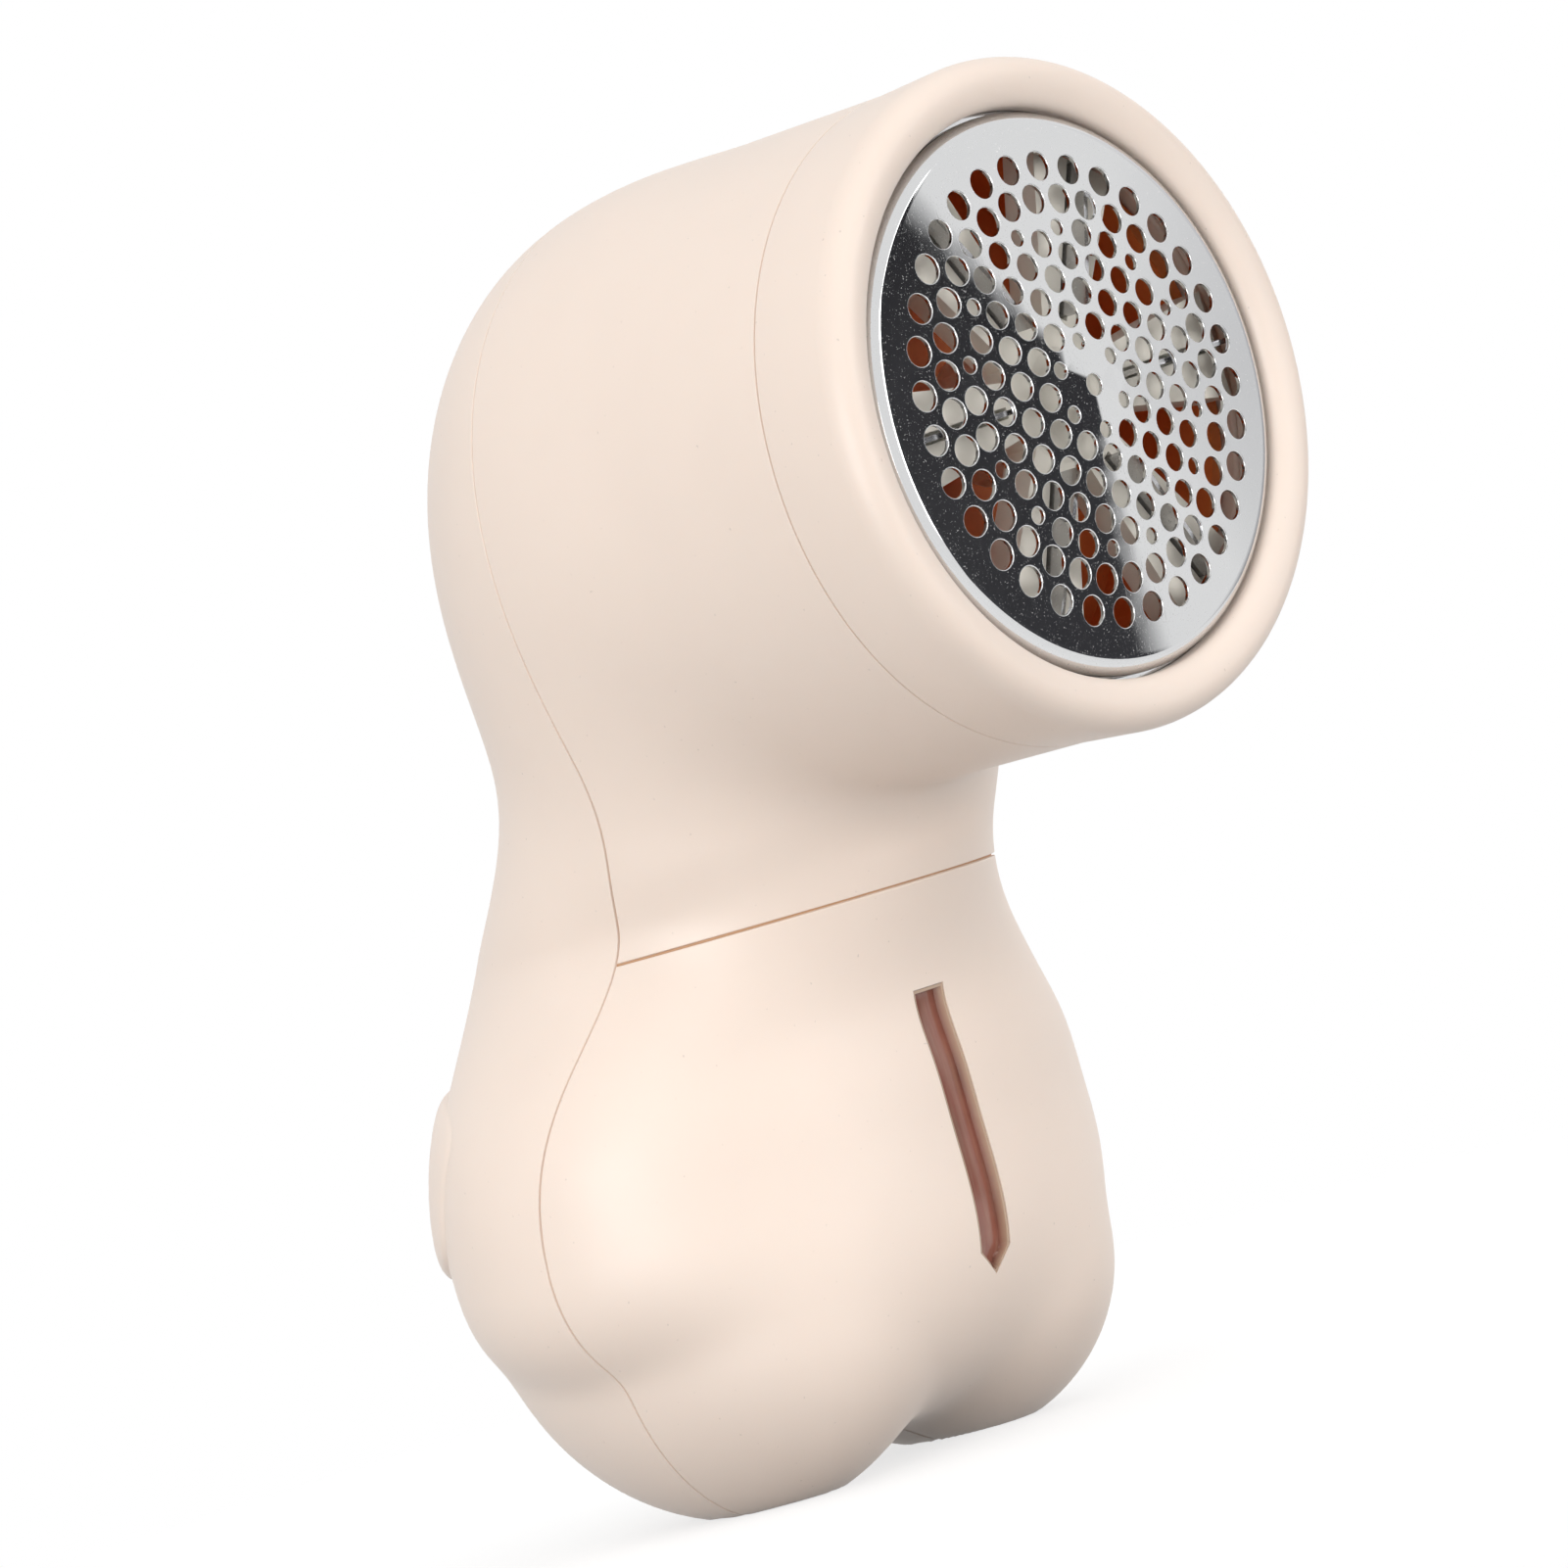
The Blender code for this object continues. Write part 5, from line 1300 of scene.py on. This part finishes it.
def board_lacquer():
    """Return the board's green lacquer, with paler copper tracks in it."""
    material, wire, sockets, place = new_material("board_lacquer")
    settings = {"wave_type": "BANDS", "bands_direction": "DIAGONAL"}
    waves = {"Vector": place, "Scale": 320.0, "Distortion": 6.0, "Detail": 1.0}
    tracks = wire.node("ShaderNodeTexWave", settings, waves, "Fac").ramp((0.68, 0.0), (0.74, 1.0))
    weave = wire.noise(place, 3000.0)
    green = wire.mix(weave, (0.012, 0.11, 0.045, 1.0), (0.02, 0.15, 0.06, 1.0))
    feed(wire, sockets["Base Color"], wire.mix(tracks, green, (0.06, 0.27, 0.11, 1.0)))
    feed(wire, sockets["Roughness"], 0.3 + weave * 0.1 + tracks * 0.05)
    feed(wire, sockets["Normal"], wire.bump(tracks + weave * 0.2, 0.03 * MM, 0.6))
    return material


class SHAVER_OT_inner_pieces(bpy.types.Operator):
    """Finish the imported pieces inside: the cutter, the chamber, the motor and the electrics."""

    bl_idname = "shaver.inner_pieces"
    bl_label = "Inner pieces"

    def execute(self, context):
        rust = rust_plastic(context)
        cream = lit_inner_cream_plastic(context)
        blade = polished_steel("blade_steel", (0.52, 0.52, 0.53, 1.0), 0.2)
        motor = polished_steel("motor_steel", (0.40, 0.40, 0.42, 1.0), 0.34)
        screw = polished_steel("screw_steel", (0.33, 0.33, 0.35, 1.0), 0.26)
        socket = polished_steel("socket_steel", (0.60, 0.59, 0.57, 1.0), 0.16)
        black = moulded_plastic("black_plastic", (0.02, 0.02, 0.022, 1.0), 0.45)
        sleeve = moulded_plastic("cell_sleeve", (0.05, 0.16, 0.42, 1.0), 0.3)
        red = moulded_plastic("lead_red", (0.55, 0.03, 0.02, 1.0), 0.45)
        dark = moulded_plastic("lead_black", (0.03, 0.03, 0.03, 1.0), 0.5)
        finish(cream, "blade_carrier", "switch_plunger")
        finish(blade, *(f"cutter_blade_{i}" for i in range(1, 7)))
        # The chamber's rust is lightened as painted light; the partition takes half of it.
        finish(rust, "cutting_chamber")
        finish(rust_plastic(context, "rust_partition", 0.5), "inner_frame")
        finish(motor, "motor_can", "motor_armature")
        finish(socket, "charging_socket")
        finish(screw, "motor_screw_1", "motor_screw_2", "frame_screw_1", "frame_screw_2")
        finish(screw, "board_screw_1", "board_screw_2", "board_screw_3")
        finish(black, "motor_end_cap", "switch_body")
        finish(board_lacquer(), "circuit_board")
        finish(sleeve, "battery_cell")
        finish(red, "motor_lead_1", "battery_lead")
        finish(dark, "motor_lead_2")
        return {"FINISHED"}


def toward(azimuth, elevation):
    """Return the direction at an azimuth, counted from the front, and an elevation."""
    flat = math.cos(elevation)
    return Vector((math.sin(azimuth) * flat, -math.cos(azimuth) * flat, math.sin(elevation)))


def seen_rays(wire):
    """Return 1 for the rays that show the backdrop: the camera's, mirrors' and clear plastic's."""
    camera, glossy, clear = (
        wire.node("ShaderNodeLightPath", output=f"Is {kind} Ray")
        for kind in ("Camera", "Glossy", "Transmission")
    )
    return camera.maths("MAXIMUM", camera, glossy.maths("MAXIMUM", glossy, clear))


def empty_material(name):
    """Return a material without nodes, and its first wire."""
    material = bpy.data.materials.new(name)
    material.use_nodes = True
    material.node_tree.nodes.clear()
    return material, Wire(material.node_tree)


def end_material(wire, shown, shader):
    """End a material with a shader that shows by a share and is clear elsewhere."""
    clear = wire.node("ShaderNodeBsdfTransparent")
    both = wire.node("ShaderNodeMixShader", None, {0: shown, 1: clear, 2: shader})
    wire.node("ShaderNodeOutputMaterial", None, {"Surface": both})


class SHAVER_OT_stage(bpy.types.Operator):
    """Set the floor, the light and the camera."""

    bl_idname = "shaver.stage"
    bl_label = "Stage"

    def execute(self, context):
        settings = context.scene.shaver_stage
        context.scene.view_settings.view_transform = "Standard"
        self.make_camera(context, settings)
        self.make_world(context, settings)
        self.make_softbox("key", -70.0, 0.0, 0.5, settings.key_power)
        self.make_softbox("fill", 20.0, 6.0, 0.55, settings.fill_power)
        for card in CARDS:
            self.make_card(*card)
        self.make_floor()
        return {"FINISHED"}

    def make_camera(self, context, settings):
        """Place the camera on its line of sight and roll it about that line."""
        back = toward(settings.azimuth, settings.elevation)
        right = Vector((math.cos(settings.azimuth), math.sin(settings.azimuth), 0.0))
        up = back.cross(right)
        c = math.cos(settings.roll)
        s = math.sin(settings.roll)
        axes = Matrix((right * c - up * s, right * s + up * c, back)).transposed()
        data = bpy.data.cameras.new("camera")
        data.lens = settings.lens
        data.sensor_width = 36.0
        data.clip_start = 0.01
        camera = link_object("camera", data)
        place = Matrix.Translation(TARGET + back * settings.distance)
        camera.matrix_world = place @ axes.to_4x4()
        context.scene.camera = camera

    def make_world(self, context, settings):
        """Light from all round; the camera, mirrors and clear plastic see plain white."""
        world = bpy.data.worlds.new("studio")
        world.use_nodes = True
        context.scene.world = world
        wire = Wire(world.node_tree)
        seen = seen_rays(wire)
        way = wire.node("ShaderNodeTexCoord", output="Generated")
        height = wire.node("ShaderNodeSeparateXYZ", None, {0: way}, "Z")
        sky = (height * 0.5 + 0.5).ramp((0.28, 0.0), (0.8, 1.0)) * settings.ambient
        background = world.node_tree.nodes["Background"]
        background.inputs["Color"].default_value = (1.0, 1.0, 1.0, 1.0)
        feed(wire, background.inputs["Strength"], sky + seen * (1 - sky))

    def make_softbox(self, name, azimuth, elevation, side, power):
        """Add a square softbox that faces the object and stays out of the picture."""
        data = bpy.data.lights.new(name, "AREA")
        data.size = side
        data.energy = power
        light = link_object(name, data)
        way = toward(math.radians(azimuth), math.radians(elevation))
        light.location = TARGET + way * SOFTBOX_REACH
        light.rotation_euler = way.to_track_quat("Z", "Y").to_euler()
        light.visible_camera = False

    def make_card(self, name, colour, softness, corners):
        """Add a card that only mirrors see, with corners as directions from the foil.

        It runs from its first side to its third, and fades in over a share of that way.
        """
        centre = Vector((0.0, -GUARD_CREST_AHEAD, HEAD_AXIS_Z))
        places = [centre + toward(*map(math.radians, corner)) * CARD_REACH for corner in corners]
        mesh = bpy.data.meshes.new(name)
        mesh.from_pydata([list(place) for place in places], [], [(0, 1, 2, 3)])
        sides = mesh.uv_layers.new(name="card")
        sides.uv.foreach_set("vector", (0.0, 0.0, 1.0, 0.0, 1.0, 1.0, 0.0, 1.0))
        card = link_object(name, mesh)
        material, wire = empty_material(name)
        place = wire.node("ShaderNodeUVMap", {"uv_map": "card"})
        across = wire.node("ShaderNodeSeparateXYZ", None, {0: place}, "Y")
        along = wire.node("ShaderNodeSeparateXYZ", None, {0: place}, "X")
        shown = (across / softness).ramp((0.0, 0.0), (1.0, 1.0))
        tone = wire.noise(place, 3.0) * 0.5 + along * along
        painted = wire.mix(tone, colour, shade(colour, 3.0))
        glow = wire.node("ShaderNodeEmission", None, {"Color": painted})
        end_material(wire, shown, glow)
        paint(card, material)
        card.visible_camera = False
        card.visible_diffuse = False
        card.visible_shadow = False

    def make_floor(self):
        """Add a pale round floor that fades out before the horizon."""
        radius = np.linspace(0, FLOOR_RADIUS, FLOOR_RINGS)[:, None]
        x, y = (radius * part for part in round_turn(FLOOR_SIDES, closed=True).T)
        faces = grid_quads(FLOOR_RINGS, FLOOR_SIDES)[:, ::-1]
        floor = add_mesh("floor", vectors(x, y, -FLOOR_DROP), faces)
        material, wire = empty_material("pale_floor")
        place = wire.node("ShaderNodeTexCoord", output="Object")
        reach = wire.node("ShaderNodeVectorMath", {"operation": "LENGTH"}, {0: place}, "Value")
        shown = (reach / FLOOR_FADE).ramp((0.16, 1.0), (0.44, 0.0))
        paper = wire.noise(place, 300.0)
        seen = seen_rays(wire)
        pale = wire.mix(paper, (0.34, 0.34, 0.34, 1.0), (0.36, 0.36, 0.36, 1.0))
        colour = wire.mix(seen, (0.38, 0.38, 0.38, 1.0), pale)
        diffuse = wire.node("ShaderNodeBsdfDiffuse", None, {"Color": colour})
        glow = wire.node("ShaderNodeEmission", None, {"Strength": seen * 0.72})
        end_material(wire, shown, wire.node("ShaderNodeAddShader", None, {0: diffuse, 1: glow}))
        paint(floor, material)


class SHAVER_PT_panel(bpy.types.Panel):
    """Sidebar panel that lists the pieces."""

    bl_idname = "SHAVER_PT_panel"
    bl_label = "Fabric shaver"
    bl_space_type = "VIEW_3D"
    bl_region_type = "UI"
    bl_category = "Shaver"

    def draw(self, context):
        for operator in OPERATORS:
            self.layout.operator(operator.bl_idname)
        for group in GROUPS:
            for name in GROUPS[group].__annotations__:
                self.layout.prop(getattr(context.scene, group), name)


OPERATORS = (
    SHAVER_OT_front_shell,
    SHAVER_OT_rear_shell,
    SHAVER_OT_seam_lips,
    SHAVER_OT_lint_bin,
    SHAVER_OT_bin_window,
    SHAVER_OT_power_pad,
    SHAVER_OT_guard_ring,
    SHAVER_OT_shaving_foil,
    SHAVER_OT_inner_pieces,
    SHAVER_OT_stage,
)
GROUPS = {"shaver_sizes": ShaverSizes, "shaver_colours": ShaverColours, "shaver_stage": ShaverStage}


def register():
    """Register the groups, the operators and the panel."""
    for name, group in GROUPS.items():
        bpy.utils.register_class(group)
        setattr(bpy.types.Scene, name, bpy.props.PointerProperty(type=group))
    for item in (*OPERATORS, SHAVER_PT_panel):
        bpy.utils.register_class(item)


def unregister():
    """Undo what register did."""
    for item in (SHAVER_PT_panel, *reversed(OPERATORS)):
        bpy.utils.unregister_class(item)
    for name, group in GROUPS.items():
        delattr(bpy.types.Scene, name)
        bpy.utils.unregister_class(group)


def main():
    """Build every piece and the stage."""
    register()
    for operator in OPERATORS:
        _, name = operator.bl_idname.split(".")
        getattr(bpy.ops.shaver, name)()


if __name__ == "__main__":
    main()
